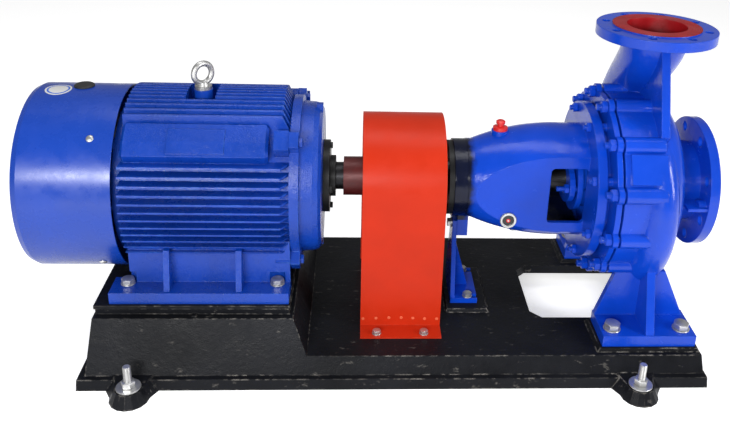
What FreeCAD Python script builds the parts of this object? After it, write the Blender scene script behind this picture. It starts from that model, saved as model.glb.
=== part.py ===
import FreeCAD, Part
import math
import os

# Irrigation pump set on a cast base: an end-suction volute pump,
# a pin-and-bush coupling under a bent guard and a foot-mounted fan-cooled motor.
# Working frame: X runs along the shaft towards the suction flange, Y points away
# from the viewed side, Z is up, and zero lies on the shaft under the discharge.
# Every shape is moved at the end so that zero is the middle of the overall length,
# on the floor below the shaft.

os.makedirs("parts", exist_ok=True)
V = FreeCAD.Vector
X_AXIS = V(1, 0, 0)
Y_AXIS = V(0, 1, 0)
Z_AXIS = V(0, 0, 1)

# driving sizes, mm
BASE_HEIGHT = 67.0          # floor up to the pump pads
PUMP_FOOT_DROP = 285.0      # shaft down to the pump feet
MOTOR_FOOT_DROP = 201.0     # shaft down to the motor feet
DISCHARGE_RISE = 355.0      # shaft up to the discharge face
SUCTION_REACH = 140.0       # discharge axis to the suction face

BASE_X0 = -1177.0
BASE_X1 = 119.0
BASE_HALF_W = 278.0
LIP_HEIGHT = 24.0
PAD_RISE = 8.0
DECK_Z = -PUMP_FOOT_DROP - PAD_RISE
FLOOR_Z = -PUMP_FOOT_DROP - BASE_HEIGHT
LIP_TOP_Z = FLOOR_Z + LIP_HEIGHT
DECK_T = 14.0
WALL_T = 12.0
LUG_X0 = -1066.0
LUG_X1 = -34.0
LUG_REACH = 21.0            # foundation hole outside the lip
LUG_Y = BASE_HALF_W + LUG_REACH
STUD_CORE_R = 7.0           # foundation stud at the core of its thread, inside the nut and below
LUG_R_TOP = 27.0
LUG_R_FOOT = 40.0

FIT_GAP = 0.05              # same-body round fits
RUN_GAP = 0.04              # running fits, per side
SEAT_GAP = 0.3              # free pieces at rest

COWL_X0 = -1293.0           # closed end of the fan cowl
SHIFT = V(-(COWL_X0 + SUCTION_REACH) / 2.0, 0, -FLOOR_Z)


# small helpers
def box(x0, x1, y0, y1, z0, z1):
    return Part.makeBox(x1 - x0, y1 - y0, z1 - z0, V(x0, y0, z0))


def rod(x0, x1, r, y=0.0, z=0.0):
    return Part.makeCylinder(r, x1 - x0, V(x0, y, z), X_AXIS)


def ring(x0, x1, r_out, r_in, y=0.0, z=0.0):
    return rod(x0, x1, r_out, y, z).cut(rod(x0 - 1, x1 + 1, r_in, y, z))


def post(z0, z1, r, x=0.0, y=0.0):
    return Part.makeCylinder(r, z1 - z0, V(x, y, z0), Z_AXIS)


def side_rod(y0, y1, r, x, z):
    return Part.makeCylinder(r, y1 - y0, V(x, y0, z), Y_AXIS)


def fuse(shapes):
    return shapes[0].multiFuse(shapes[1:]) if len(shapes) > 1 else shapes[0]


def group(shapes):
    return Part.makeCompound(shapes)


def turned(points):
    # closed outline of (x, r) pairs turned about the shaft line
    pts = [V(x, 0, r) for x, r in points]
    face = Part.Face(Part.makePolygon(pts + [pts[0]]))
    return face.revolve(V(0, 0, 0), X_AXIS, 360)


def plate_yz(points, x0, x1):
    pts = [V(x0, y, z) for y, z in points]
    face = Part.Face(Part.makePolygon(pts + [pts[0]]))
    return face.extrude(V(x1 - x0, 0, 0))


def plate_xz(points, y0, y1):
    pts = [V(x, y0, z) for x, z in points]
    face = Part.Face(Part.makePolygon(pts + [pts[0]]))
    return face.extrude(V(0, y1 - y0, 0))


def plate_xy(points, z0, z1):
    pts = [V(x, y, z0) for x, y in points]
    face = Part.Face(Part.makePolygon(pts + [pts[0]]))
    return face.extrude(V(0, 0, z1 - z0))


def frustum(x0, x1, y0, y1, z0, x2, x3, y2, y3, z1):
    low = [V(x0, y0, z0), V(x1, y0, z0), V(x1, y1, z0), V(x0, y1, z0)]
    top = [V(x2, y2, z1), V(x3, y2, z1), V(x3, y3, z1), V(x2, y3, z1)]
    wires = [Part.makePolygon(low + [low[0]]), Part.makePolygon(top + [top[0]])]
    return Part.makeLoft(wires, True, True)


def around(radius, degrees, x=0.0):
    # point on a circle about the shaft, measured from the viewed side upwards
    a = math.radians(degrees)
    return V(x, -radius * math.cos(a), radius * math.sin(a))


def swing(shape, degrees):
    # turn about the shaft, same sense as around()
    copy = shape.copy()
    copy.rotate(V(0, 0, 0), X_AXIS, -degrees)
    return copy


def hexagon(flats, height, base, axis, spin=0.0):
    r = flats / math.sqrt(3.0)
    pts = []
    for i in range(6):
        a = math.radians(60 * i + spin)
        pts.append(V(r * math.cos(a), r * math.sin(a), 0))
    solid = Part.Face(Part.makePolygon(pts + [pts[0]])).extrude(V(0, 0, height))
    solid.Placement = FreeCAD.Placement(base, FreeCAD.Rotation(Z_AXIS, axis))
    return solid


def cylinder_on(base, axis, r, height):
    return Part.makeCylinder(r, height, base, axis)


def hex_bolt(seat, axis, d, length, flats, head, washer=0.0):
    # seat is the point under the head, axis points from the head out of the work
    parts = []
    start = seat
    if washer > 0:
        parts.append(cylinder_on(seat, axis, flats * 0.62, washer))
        start = seat + axis * washer
    parts.append(hexagon(flats, head, start, axis))
    parts.append(cylinder_on(seat - axis * length, axis, d / 2.0, length + washer + head * 0.5))
    return fuse(parts)


def hex_nut(seat, axis, d, flats, height):
    nut = hexagon(flats, height, seat, axis)
    return nut.cut(cylinder_on(seat - axis, axis, d / 2.0 + FIT_GAP, height + 2))


def save(name, shape):
    out = shape.copy()
    out.translate(SHIFT)
    out.exportStep("parts/" + name + ".step")


# cast base
WALL_SLOPE = 0.457          # side walls lean in by this much per mm of rise
WALL_SET = 16.0             # side wall inside the lip edge
PLINTH_X0 = -1149.0
PLINTH_X1 = -757.0
PLINTH_TOP_Z = -MOTOR_FOOT_DROP
PLINTH_LIP_Z = PLINTH_TOP_Z - 8.0
PLINTH_SHOULDER_Z = PLINTH_TOP_Z - 23.0
PAD_TOP_Z = -PUMP_FOOT_DROP
WIN_X0 = -228.0
WIN_X1 = 60.0
WIN_Y = 110.0
WIN_CORNER = 24.0
FOOT_BOLT_X = 75.0
FOOT_BOLT_Y = 200.0
MOTOR_BOLT_X = (-1089.0, -784.0)
MOTOR_BOLT_Y = 159.0
STAND_BOLT_X = -368.0
STAND_BOLT_Y = 55.0
GUARD_BOLT_X = (-575.0, -474.0)
GUARD_BOLT_Y = 172.0


def wall_y(z):
    return BASE_HALF_W - WALL_SET - (z - LIP_TOP_Z) * WALL_SLOPE


def sloped_block(x0, x1, z0, x2, x3, z1, inset=0.0):
    y0 = wall_y(z0) - inset
    y1 = wall_y(z1) - inset
    return frustum(x0, x1, -y0, y0, z0, x2, x3, -y1, y1, z1)


def window_outline(grow):
    x0 = WIN_X0 - grow
    x1 = WIN_X1 + grow
    y = WIN_Y + grow
    c = WIN_CORNER
    return [(x0 + c, -y), (x1 - c, -y), (x1, -y + c), (x1, y - c),
            (x1 - c, y), (x0 + c, y), (x0, y - c), (x0, -y + c)]


def lug_outline(cx, sign, radius, half, y_root, z):
    # round ear tangent to two straight sides that run back to the base wall
    pts = [V(cx - half, sign * y_root, z)]
    for i in range(9):
        a = math.radians(180.0 + 22.5 * i)
        pts.append(V(cx + radius * math.cos(a), sign * (LUG_Y - radius * math.sin(a)), z))
    pts.append(V(cx + half, sign * y_root, z))
    return Part.makePolygon(pts + [pts[0]])


def lug(cx, sign):
    root = BASE_HALF_W - WALL_SET
    low = lug_outline(cx, sign, LUG_R_FOOT, LUG_R_FOOT + 22.0, root, FLOOR_Z)
    top = lug_outline(cx, sign, LUG_R_TOP, LUG_R_TOP + 13.0, root - 4.0, LIP_TOP_Z + 2.0)
    return Part.makeLoft([low, top], True, True)


def make_base():
    lip = frustum(BASE_X0, BASE_X1, -BASE_HALF_W, BASE_HALF_W, FLOOR_Z,
                  BASE_X0 + 2, BASE_X1 - 2, -BASE_HALF_W + 3, BASE_HALF_W - 3, LIP_TOP_Z)
    skirt = sloped_block(-1162, 113, LIP_TOP_Z, -1157, 110, DECK_Z)
    plinth = sloped_block(-1162, -705, LIP_TOP_Z, -1152, -748, PLINTH_SHOULDER_Z)
    y = MOTOR_BOLT_Y + 39.0
    neck = box(PLINTH_X0, PLINTH_X1, -y, y, PLINTH_SHOULDER_Z - 1, PLINTH_LIP_Z + 1)
    rim = box(PLINTH_X0 - 1, PLINTH_X1 + 1, -y - 6, y + 6, PLINTH_LIP_Z, PLINTH_TOP_Z)
    solids = [lip, skirt, plinth, neck, rim]
    for sign in (-1, 1):
        y0 = min(sign * (FOOT_BOLT_Y - 74), sign * (FOOT_BOLT_Y + 33))
        pad = frustum(-112, 109, y0 - 3, y0 + 110, DECK_Z - 1, -106, 105, y0, y0 + 107, PAD_TOP_Z)
        solids.append(pad)
        for cx in (LUG_X0, LUG_X1):
            solids.append(lug(cx, sign))
    solids.append(frustum(-420, -322, -92, 92, DECK_Z - 1, -416, -326, -88, 88, PAD_TOP_Z))
    body = fuse(solids)

    hollow = sloped_block(-1148, 98, FLOOR_Z - 1, -1142, 95, DECK_Z - DECK_T, WALL_T)
    plinth_hollow = sloped_block(-1148, -716, FLOOR_Z - 1, -1136, -764, PLINTH_SHOULDER_Z - 4, WALL_T)
    body = body.cut(fuse([hollow, plinth_hollow]))

    # cross ribs under the deck and under the motor seat
    y = wall_y(DECK_Z) - WALL_T / 2.0
    ribs = [box(x - 5, x + 5, -y, y, FLOOR_Z + 8, DECK_Z - 2) for x in (-640, -330)]
    y = wall_y(PLINTH_SHOULDER_Z) - WALL_T / 2.0
    ribs.append(box(-955, -945, -y, y, FLOOR_Z + 8, PLINTH_SHOULDER_Z + 2))
    body = fuse([body] + ribs)

    well = plate_xy(window_outline(10), DECK_Z - 22, DECK_Z - 1)
    body = body.fuse(well)
    body = body.cut(plate_xy(window_outline(0), FLOOR_Z - 5, DECK_Z + 5))

    bores = []
    for sign in (-1, 1):
        for cx in (LUG_X0, LUG_X1):
            bores.append(post(FLOOR_Z - 1, LIP_TOP_Z + 4, 9.0, cx, sign * LUG_Y))
            bores.append(post(FLOOR_Z - 1, FLOOR_Z + 12, 17.0, cx, sign * LUG_Y))
        for x in (-FOOT_BOLT_X, FOOT_BOLT_X):
            bores.append(post(DECK_Z - 30, PAD_TOP_Z + 1, 10.0 + FIT_GAP, x, sign * FOOT_BOLT_Y))
        for x in MOTOR_BOLT_X:
            bores.append(post(PLINTH_TOP_Z - 60, PLINTH_TOP_Z + 1, 8.0 + FIT_GAP, x, sign * MOTOR_BOLT_Y))
        bores.append(post(DECK_Z - 30, PAD_TOP_Z + 1, 6.0 + FIT_GAP, STAND_BOLT_X, sign * STAND_BOLT_Y))
        for x in GUARD_BOLT_X:
            bores.append(post(DECK_Z - 30, DECK_Z + 1, 5.0 + FIT_GAP, x, sign * GUARD_BOLT_Y))
    return body.cut(fuse(bores))


def make_foundation():
    bolts = []
    nuts = []
    washers = []
    seat_z = LIP_TOP_Z + 2.0
    nut_z = seat_z + 3.0
    free_z = nut_z + 13.0
    tip_z = seat_z + 50.0
    for sign in (-1, 1):
        for cx in (LUG_X0, LUG_X1):
            y = sign * LUG_Y
            head = hexagon(24, 10, V(cx, y, FLOOR_Z + 2), Z_AXIS)
            shank = post(FLOOR_Z + 3, free_z + 1, STUD_CORE_R, cx, y)
            free_end = post(free_z, tip_z, 8.0, cx, y)
            free_end = free_end.makeChamfer(1.5, [e for e in free_end.Edges if e.BoundBox.ZMin > tip_z - 1])
            bolts.append(fuse([head, shank, free_end]))
            washers.append(post(seat_z, seat_z + 3, 24.5, cx, y).cut(
                post(seat_z - 1, seat_z + 4, 8.0 + 0.5, cx, y)))
            nuts.append(hex_nut(V(cx, y, nut_z), Z_AXIS, 2 * STUD_CORE_R, 24, free_z - nut_z))
    return group(bolts), group(nuts), group(washers)


# motor
M_X0 = -1092.0              # fan end of the frame
M_X1 = -757.0               # drive end of the frame
MOTOR_FOOT_T = 25.0
MOTOR_FOOT_TOP_Z = MOTOR_FOOT_T - MOTOR_FOOT_DROP
BARREL_R = 164.0
BORE_R = 150.0
SIDE_FIN_R = 190.0
TOP_FIN_R = 197.0
FIN_T = 4.0
SIDE_FIN_TOP = 89.0
SIDE_FIN_PITCH = 17.4
SIDE_FIN_COUNT = 12
TOP_FIN_FIRST = 7.5
TOP_FIN_PITCH = 14.5
TOP_FIN_COUNT = 7
EYE_X = -944.0
EYE_BOSS_Z = 197.0
EYE_SHANK = 27.0
EYE_R = 21.0                # middle of the ring of the eye bolt
EYE_WIRE_R = 6.2
SHIELD_BOLT_R = 187.0
FAN_SHIELD_BOLT_R = 157.0
MOTOR_SHAFT_R = 27.5
MOTOR_SEAT_R = 30.0
BEARING_R = 65.0
BEARING_W = 31.0
DE_BEARING_X = -731.0
NDE_BEARING_X = -1136.0
TB_X0 = -885.0
TB_X1 = -742.0
TB_Y0 = 178.0
TB_Y1 = 262.0
TB_Z0 = 2.0
TB_Z1 = 98.0
GLAND_Y = 222.0
GLAND_Z = 50.0


def fin_envelope(r_out, r_root):
    return turned([(M_X0 + 4, 120), (M_X0 + 4, r_out), (M_X1 - 16, r_out),
                   (M_X1, r_root + 4), (M_X1, 120)])


def make_motor_frame():
    barrel = rod(M_X0, M_X1, BARREL_R)
    side = []
    for i in range(SIDE_FIN_COUNT):
        z = SIDE_FIN_TOP - SIDE_FIN_PITCH * i
        root = math.sqrt(BARREL_R ** 2 - z * z) - 4
        side.append(box(M_X0, M_X1, -200, -root, z - FIN_T / 2, z + FIN_T / 2))
        side.append(box(M_X0, M_X1, root, 200, z - FIN_T / 2, z + FIN_T / 2))
    side = group(side).common(fin_envelope(SIDE_FIN_R, BARREL_R))
    upright = []
    for i in range(TOP_FIN_COUNT):
        y = TOP_FIN_FIRST + TOP_FIN_PITCH * i
        root = math.sqrt(BARREL_R ** 2 - y * y) - 4
        for s in (-1, 1):
            upright.append(box(M_X0, M_X1, s * y - FIN_T / 2, s * y + FIN_T / 2, root, 200))
            if i < 6:
                upright.append(box(M_X0, M_X1, s * y - FIN_T / 2, s * y + FIN_T / 2, -188, -root))
    upright = group(upright).common(fin_envelope(TOP_FIN_R, BARREL_R))
    fins = side.Solids + upright.Solids
    clear = [box(EYE_X - 30, EYE_X + 30, -46, 46, 150, 210),
             box(TB_X0 - 8, M_X1 + 10, 120, 200, TB_Z0 - 6, TB_Z1 + 8)]
    fins = group(fins).cut(fuse(clear)).Solids
    body = fuse([barrel] + fins)

    facets = [(-90, 137), (-105, 158.5), (-136, 132.6), (-155.5, 109), (-141, 84), (-80, 60)]
    tag = [(-104, 150), (-116.5, 152.5), (-137.8, 134.6), (-153.5, 115), (-140, 100), (-90, 90)]
    pad = plate_yz(facets, -1086, -798)
    ends = [e for e in pad.Edges if e.BoundBox.XLength < 0.1 and e.CenterOfMass.y < -92 and e.CenterOfMass.z > 88]
    extra = [pad.makeChamfer(6.0, ends), plate_yz(tag, -996, -884)]
    extra.append(post(140, EYE_BOSS_Z, 19.0, EYE_X, 0))
    for a in (45, 135, 225, 315):
        extra.append(swing(box(M_X1 - 30, M_X1, -200, -152, -21, 21), a))
    extra.append(box(TB_X0 + 4, M_X1, 120, TB_Y0, TB_Z0 + 4, TB_Z1 - 4))
    for s in (-1, 1):
        low = min(s * 135, s * 197)
        extra.append(box(-1120, -758, low, low + 62, -MOTOR_FOOT_DROP, MOTOR_FOOT_TOP_Z))
        low = min(s * 138, s * 152)
        extra.append(box(-1086, -758, low, low + 14, MOTOR_FOOT_TOP_Z - 1, -80))
        for x in (-1005, -860):
            web = [(s * 140, -86), (s * 171, -92), (s * 190, MOTOR_FOOT_TOP_Z - 1),
                   (s * 140, MOTOR_FOOT_TOP_Z - 1)]
            extra.append(plate_yz(web, x - 6, x + 6))
    body = fuse([body] + extra)

    cuts = [rod(M_X0 - 1, M_X1 + 1, BORE_R),
            post(EYE_BOSS_Z - EYE_SHANK - 5, EYE_BOSS_Z + 1, 8.0 + FIT_GAP, EYE_X, 0),
            side_rod(100, TB_Y0 + 1, 22, (TB_X0 + TB_X1) / 2, 50)]
    for a in (45, 135, 225, 315):
        c = around(SHIELD_BOLT_R, a)
        cuts.append(rod(M_X1 - 26, M_X1 + 1, 6.0 + FIT_GAP, c.y, c.z))
    for a in (0, 90, 180, 270):
        c = around(FAN_SHIELD_BOLT_R, a)
        cuts.append(rod(M_X0 - 1, M_X0 + 26, 4.0 + FIT_GAP, c.y, c.z))
    for s in (-1, 1):
        for x in MOTOR_BOLT_X:
            cuts.append(post(-MOTOR_FOOT_DROP - 1, MOTOR_FOOT_TOP_Z + 1, 9.5, x, s * MOTOR_BOLT_Y))
            cuts.append(post(MOTOR_FOOT_TOP_Z, MOTOR_FOOT_TOP_Z + 24, 17.5, x, s * MOTOR_BOLT_Y))
    return body.cut(fuse(cuts))


def make_drive_shield():
    x0 = M_X1
    drum = turned([(x0 + 17, 100), (x0 + 17, 164), (x0 + 45, 162), (x0 + 56, 158),
                   (x0 + 62, 148), (x0 + 63, 100)])
    flange = rod(x0, x0 + 19, 176)
    spigot = rod(x0 - 8, x0, BORE_R - FIT_GAP)
    shapes = [flange, drum, spigot, rod(x0 + 17, x0 + 63, 110)]
    for a in (45, 135, 225, 315):
        shapes.append(swing(box(x0, x0 + 19, -203, -160, -17, 17), a))
    shapes.append(box(x0 + 48, x0 + 62, -7, 7, 150, 168))
    shapes.append(box(x0 + 48, x0 + 62, -7, 7, -168, -150))
    body = fuse(shapes)
    cavity = turned([(x0 - 9, 0), (x0 - 9, 140), (x0 + 20, 148), (x0 + 44, 146),
                     (x0 + 51, 136), (x0 + 51, 0)])
    body = body.cut(cavity)
    hub = rod(x0 + 22, x0 + 63, 80)
    body = body.fuse(hub)
    cuts = [rod(DE_BEARING_X, x0 + 64, BEARING_R + FIT_GAP), rod(x0, x0 + 40, 55)]
    for a in (45, 135, 225, 315):
        c = around(SHIELD_BOLT_R, a)
        cuts.append(rod(x0 - 1, x0 + 20, 6.6, c.y, c.z))
    for a in (0, 90, 180, 270):
        c = around(72.0, a)
        cuts.append(rod(x0 + 40, x0 + 64, 4.0 + FIT_GAP, c.y, c.z))
    return body.cut(fuse(cuts))


def make_fan_shield():
    x1 = M_X0
    plate = rod(x1 - 12, x1, BARREL_R)
    spigot = rod(x1, x1 + 8, BORE_R - FIT_GAP)
    hub = rod(x1 - 50, x1, 78)
    shapes = [plate, spigot, hub]
    cowl_in = COWL_R - COWL_T - SEAT_GAP
    for a in (45, 135, 225, 315):
        shapes.append(swing(box(x1 - 62, x1 - 2, -BARREL_R, -150, -9, 9), a))
        shapes.append(swing(box(x1 - 62, x1 - 38, -cowl_in, -150, -9, 9), a))
    body = fuse(shapes)
    cuts = [rod(x1, x1 + 9, 130), rod(NDE_BEARING_X, x1 + 9, BEARING_R + FIT_GAP),
            rod(x1 - 51, x1, 32)]
    for a in (0, 90, 180, 270):
        c = around(FAN_SHIELD_BOLT_R, a)
        cuts.append(rod(x1 - 13, x1 + 1, 4.4, c.y, c.z))
    for a in (45, 135, 225, 315):
        c = around(COWL_R - 2.0, a, x1 - 50)
        inward = V(0, -c.y, -c.z).normalize()
        cuts.append(cylinder_on(c, inward, 4.0 + FIT_GAP, 24))
    return body.cut(fuse(cuts))


def make_shield_bolts():
    bolts = []
    for a in (45, 135, 225, 315):
        bolts.append(hex_bolt(around(SHIELD_BOLT_R, a, M_X1 + 19), X_AXIS, 12, 40, 18, 7.5))
    for a in (0, 90, 180, 270):
        bolts.append(hex_bolt(around(FAN_SHIELD_BOLT_R, a, M_X0 - 12), -X_AXIS, 8, 32, 13, 5.5))
    return group(bolts)


def make_bearing_cap():
    x0 = M_X1 + 63
    cap = fuse([rod(x0, x0 + 14, 79), rod(x0 + 13, x0 + 26, 45),
                ring(DE_BEARING_X + BEARING_W, x0 + 1, BEARING_R - FIT_GAP, 55)])
    cuts = [rod(x0 - 20, x0 + 27, MOTOR_SEAT_R + 0.4)]
    for a in (0, 90, 180, 270):
        c = around(72.0, a)
        cuts.append(rod(x0 - 1, x0 + 15, 4.4, c.y, c.z))
    bolts = [hex_bolt(around(72.0, a, x0 + 14), X_AXIS, 8, 34, 13, 5.5) for a in (0, 90, 180, 270)]
    return cap.cut(fuse(cuts)), group(bolts)


def make_motor_shaft():
    x_end = -541.0
    shoulder = -651.0
    steps = [(-1218, -1140, 22.0), (-1140, NDE_BEARING_X + BEARING_W, MOTOR_SEAT_R),
             (NDE_BEARING_X + BEARING_W, DE_BEARING_X, 35.0), (DE_BEARING_X, shoulder, MOTOR_SEAT_R),
             (shoulder, x_end, MOTOR_SHAFT_R)]
    shaft = fuse([rod(a, b, r) for a, b, r in steps])
    tips = [e for e in shaft.Edges if e.BoundBox.XMin > x_end - 0.1]
    shaft = shaft.makeChamfer(2.0, tips)
    keyway = box(-641, -561, -8 - FIT_GAP, 8 + FIT_GAP, 21.5, 40)
    key = box(-640.5, -561.5, -8, 8, 21.5 + FIT_GAP, 31.4)
    return shaft.cut(keyway), key


def make_rotor_core():
    core = fuse([rod(-1030, -820, 94.4), rod(-1046, -1029, 88), rod(-821, -804, 88)])
    return core.cut(rod(-1050, -800, 35 + FIT_GAP))


def make_stator():
    core = ring(-1030, -820, BORE_R - FIT_GAP, 95)
    left = ring(-1076, -1030, 138, 99)
    right = ring(-820, -774, 138, 99)
    return core, group([left, right])


def ball_bearing(x0, width, r_bore, r_out):
    mid = (r_bore + r_out) / 2.0
    half = (r_out - r_bore) * 0.17
    outline = [(x0, r_bore), (x0 + width, r_bore), (x0 + width, mid - half),
               (x0 + width - 3, mid - half), (x0 + width - 3, mid + half),
               (x0 + width, mid + half), (x0 + width, r_out), (x0, r_out),
               (x0, mid + half), (x0 + 3, mid + half), (x0 + 3, mid - half), (x0, mid - half)]
    return turned(outline)


def make_motor_bearings():
    return group([ball_bearing(DE_BEARING_X, BEARING_W, MOTOR_SEAT_R + RUN_GAP, BEARING_R),
                  ball_bearing(NDE_BEARING_X, BEARING_W, MOTOR_SEAT_R + RUN_GAP, BEARING_R)])


def make_fan():
    hub = rod(-1212, -1162, 36)
    disc = rod(-1170, -1164, 168)
    shapes = [hub, disc]
    for i in range(7):
        shapes.append(swing(box(-1216, -1168, -168, -34, -2, 2), 360.0 * i / 7))
    return fuse(shapes).cut(rod(-1220, -1160, 22.0 + FIT_GAP))


COWL_R = 194.0
COWL_X1 = -1098.0
COWL_T = 2.5


def make_cowl():
    t = COWL_T
    r = COWL_R
    shell = turned([(COWL_X1, r), (COWL_X0 + 16, r), (COWL_X0 + 5, r - 5), (COWL_X0, r - 16),
                    (COWL_X0, 0), (COWL_X0 + t, 0), (COWL_X0 + t, r - 17),
                    (COWL_X0 + 5 + t, r - 5 - t), (COWL_X0 + 17, r - t), (COWL_X1, r - t)])
    slots = []
    for r_mid in (52, 82, 112, 142):
        slots.append(ring(COWL_X0 - 1, COWL_X0 + t + 1, r_mid + 9, r_mid - 9))
    spokes = []
    for i in range(3):
        spokes.append(swing(box(COWL_X0 - 2, COWL_X0 + t + 2, -170, 170, -5, 5), 60.0 * i))
    slots = group(slots).cut(fuse(spokes))
    cuts = slots.Solids
    cuts.append(post(150, 200, 17.0, -1190, 10))
    screws = []
    for a in (45, 135, 225, 315):
        c = around(r + 1, a, M_X0 - 50)
        inward = V(0, -c.y, -c.z).normalize()
        cuts.append(cylinder_on(c, inward, 4.4, 8))
        seat = around(r + 0.15, a, M_X0 - 50)
        crown = Part.makeCone(7.5, 4.5, 2.0, seat - inward * 2.0, -inward)
        shank = cylinder_on(seat, inward, 4.0, 20)
        screws.append(fuse([cylinder_on(seat, -inward, 7.5, 2.0), crown, shank]))
    return shell.cut(fuse(cuts)), group(screws)


def make_cowl_plug():
    return fuse([post(186, COWL_R + 1, 17.0 - FIT_GAP, -1190, 10),
                 post(COWL_R + SEAT_GAP, COWL_R + 2.8, 20.5, -1190, 10),
                 Part.makeCone(20.5, 18.0, 1.8, V(-1190, 10, COWL_R + 2.8), Z_AXIS)])


def make_lifting_eye():
    z0 = EYE_BOSS_Z
    ring_z = z0 + 12.0 + EYE_R
    loop = Part.makeTorus(EYE_R, EYE_WIRE_R, V(0, 0, 0), Y_AXIS)
    loop.rotate(V(0, 0, 0), Z_AXIS, 42)
    loop.translate(V(EYE_X, 0, ring_z))
    collar = post(z0, z0 + 7, 17.5, EYE_X, 0)
    stem = Part.makeCone(14, 9.5, 9, V(EYE_X, 0, z0 + 6), Z_AXIS)
    shank = post(z0 - EYE_SHANK, z0 + 2, 8.0, EYE_X, 0)
    return fuse([loop, collar, stem, shank])


def make_terminal_box():
    t = 6.0
    tub = box(TB_X0, TB_X1, TB_Y0, TB_Y1, TB_Z0, TB_Z1)
    long_edges = [e for e in tub.Edges if abs(e.BoundBox.YLength - (TB_Y1 - TB_Y0)) < 0.01]
    tub = tub.makeFillet(12, long_edges)
    tub = tub.cut(box(TB_X0 + t, TB_X1 - t, TB_Y0 + t, TB_Y1 + 1, TB_Z0 + t, TB_Z1 - t))
    bosses = []
    cuts = []
    for x in (TB_X0 + 13, TB_X1 - 13):
        for z in (TB_Z0 + 13, TB_Z1 - 13):
            bosses.append(side_rod(TB_Y0 + 2, TB_Y1, 8, x, z))
            cuts.append(side_rod(TB_Y1 - 22, TB_Y1 + 1, 3.0 + FIT_GAP, x, z))
    tub = fuse([tub] + bosses)
    gx = (TB_X0 + TB_X1) / 2
    cuts.append(side_rod(TB_Y0 - 1, TB_Y0 + t + 1, 22, gx, 50))
    cuts.append(rod(TB_X0 - 1, TB_X0 + t + 1, 16.0 + FIT_GAP, GLAND_Y, GLAND_Z))
    tub = tub.cut(fuse(cuts))
    lid = frustum(TB_X0 - 3, TB_X1 + 3, -TB_Z1 - 3, -TB_Z0 + 3, TB_Y1,
                  TB_X0 + 8, TB_X1 - 8, -TB_Z1 + 8, -TB_Z0 - 8, TB_Y1 + 27)
    rim = box(TB_X0 - 3, TB_X1 + 3, -TB_Z1 - 3, -TB_Z0 + 3, TB_Y1, TB_Y1 + 6)
    lid = lid.fuse(rim)
    hollow = frustum(TB_X0 + 24, TB_X1 - 24, -TB_Z1 + 22, -TB_Z0 - 22, TB_Y1 - 1,
                     TB_X0 + 28, TB_X1 - 28, -TB_Z1 + 26, -TB_Z0 - 26, TB_Y1 + 22)
    lid = lid.cut(hollow)
    lid.rotate(V(0, 0, 0), X_AXIS, -90)
    screws = []
    holes = []
    for x in (TB_X0 + 13, TB_X1 - 13):
        for z in (TB_Z0 + 13, TB_Z1 - 13):
            seat = V(x, TB_Y1 + 20, z)
            holes.append(side_rod(TB_Y1 - 1, TB_Y1 + 40, 3.4, x, z))
            holes.append(side_rod(TB_Y1 + 20, TB_Y1 + 40, 8, x, z))
            screws.append(hex_bolt(seat, Y_AXIS, 6, 38, 10, 4))
    lid = lid.cut(fuse(holes))
    gland = fuse([hexagon(40, 9, V(TB_X0 - 9, GLAND_Y, GLAND_Z), X_AXIS),
                  rod(TB_X0 - 1, TB_X0 + 10, 16.0, GLAND_Y, GLAND_Z),
                  rod(TB_X0 - 24, TB_X0 - 8, 17.0, GLAND_Y, GLAND_Z)])
    gland = gland.cut(rod(TB_X0 - 25, TB_X0 + 11, 10.5, GLAND_Y, GLAND_Z))
    return tub, lid, group(screws), gland


def make_motor_foot_bolts():
    bolts = []
    for s in (-1, 1):
        for x in MOTOR_BOLT_X:
            bolts.append(hex_bolt(V(x, s * MOTOR_BOLT_Y, MOTOR_FOOT_TOP_Z), Z_AXIS, 16, 55, 24, 10, 3))
    return group(bolts)


# coupling
DISC_R = 100.0
MOTOR_DISC = (-569.0, -541.0)
PUMP_DISC = (-537.0, -509.0)
PIN_R = 76.0
PIN_COUNT = 8
BUSH_R = 17.5


def make_coupling():
    x0, x1 = MOTOR_DISC
    half = fuse([rod(-651, x1, 42.5), rod(x0, x1, DISC_R)])
    cuts = [rod(-652, x1 + 1, MOTOR_SHAFT_R + FIT_GAP),
            box(-652, x1 + 1, -8 - FIT_GAP, 8 + FIT_GAP, 0, 31.5)]
    pins = []
    bushes = []
    nuts = []
    for i in range(PIN_COUNT):
        c = around(PIN_R, 22.5 + 360.0 * i / PIN_COUNT)
        cuts.append(rod(x0 - 1, x1 + 1, 9.0 + FIT_GAP, c.y, c.z))
        pins.append(fuse([rod(x0 - 17, PUMP_DISC[1], 9.0, c.y, c.z),
                          rod(x1, PUMP_DISC[0], 13.5, c.y, c.z),
                          rod(PUMP_DISC[1], PUMP_DISC[1] + 4, 13.5, c.y, c.z)]))
        bushes.append(ring(PUMP_DISC[0], PUMP_DISC[1], BUSH_R, 9.0 + FIT_GAP, c.y, c.z))
        nuts.append(hex_nut(V(x0, c.y, c.z), -X_AXIS, 18, 27, 13))
    motor_half = half.cut(fuse(cuts))
    x0, x1 = PUMP_DISC
    half = fuse([rod(x0, -427, 40), rod(x0, x1, DISC_R)])
    cuts = [rod(x0 - 1, -426, 21.0 + FIT_GAP), box(x0 - 1, -426, -6 - FIT_GAP, 6 + FIT_GAP, 0, 24.5)]
    for i in range(PIN_COUNT):
        c = around(PIN_R, 22.5 + 360.0 * i / PIN_COUNT)
        cuts.append(rod(x0 - 1, x1 + 1, BUSH_R + SEAT_GAP, c.y, c.z))
    pump_half = half.cut(fuse(cuts))
    return motor_half, pump_half, group(pins), group(bushes), group(nuts)


GUARD_X0 = -610.0
GUARD_X1 = -437.0
GUARD_R = 142.0
GUARD_T = 2.5


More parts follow.
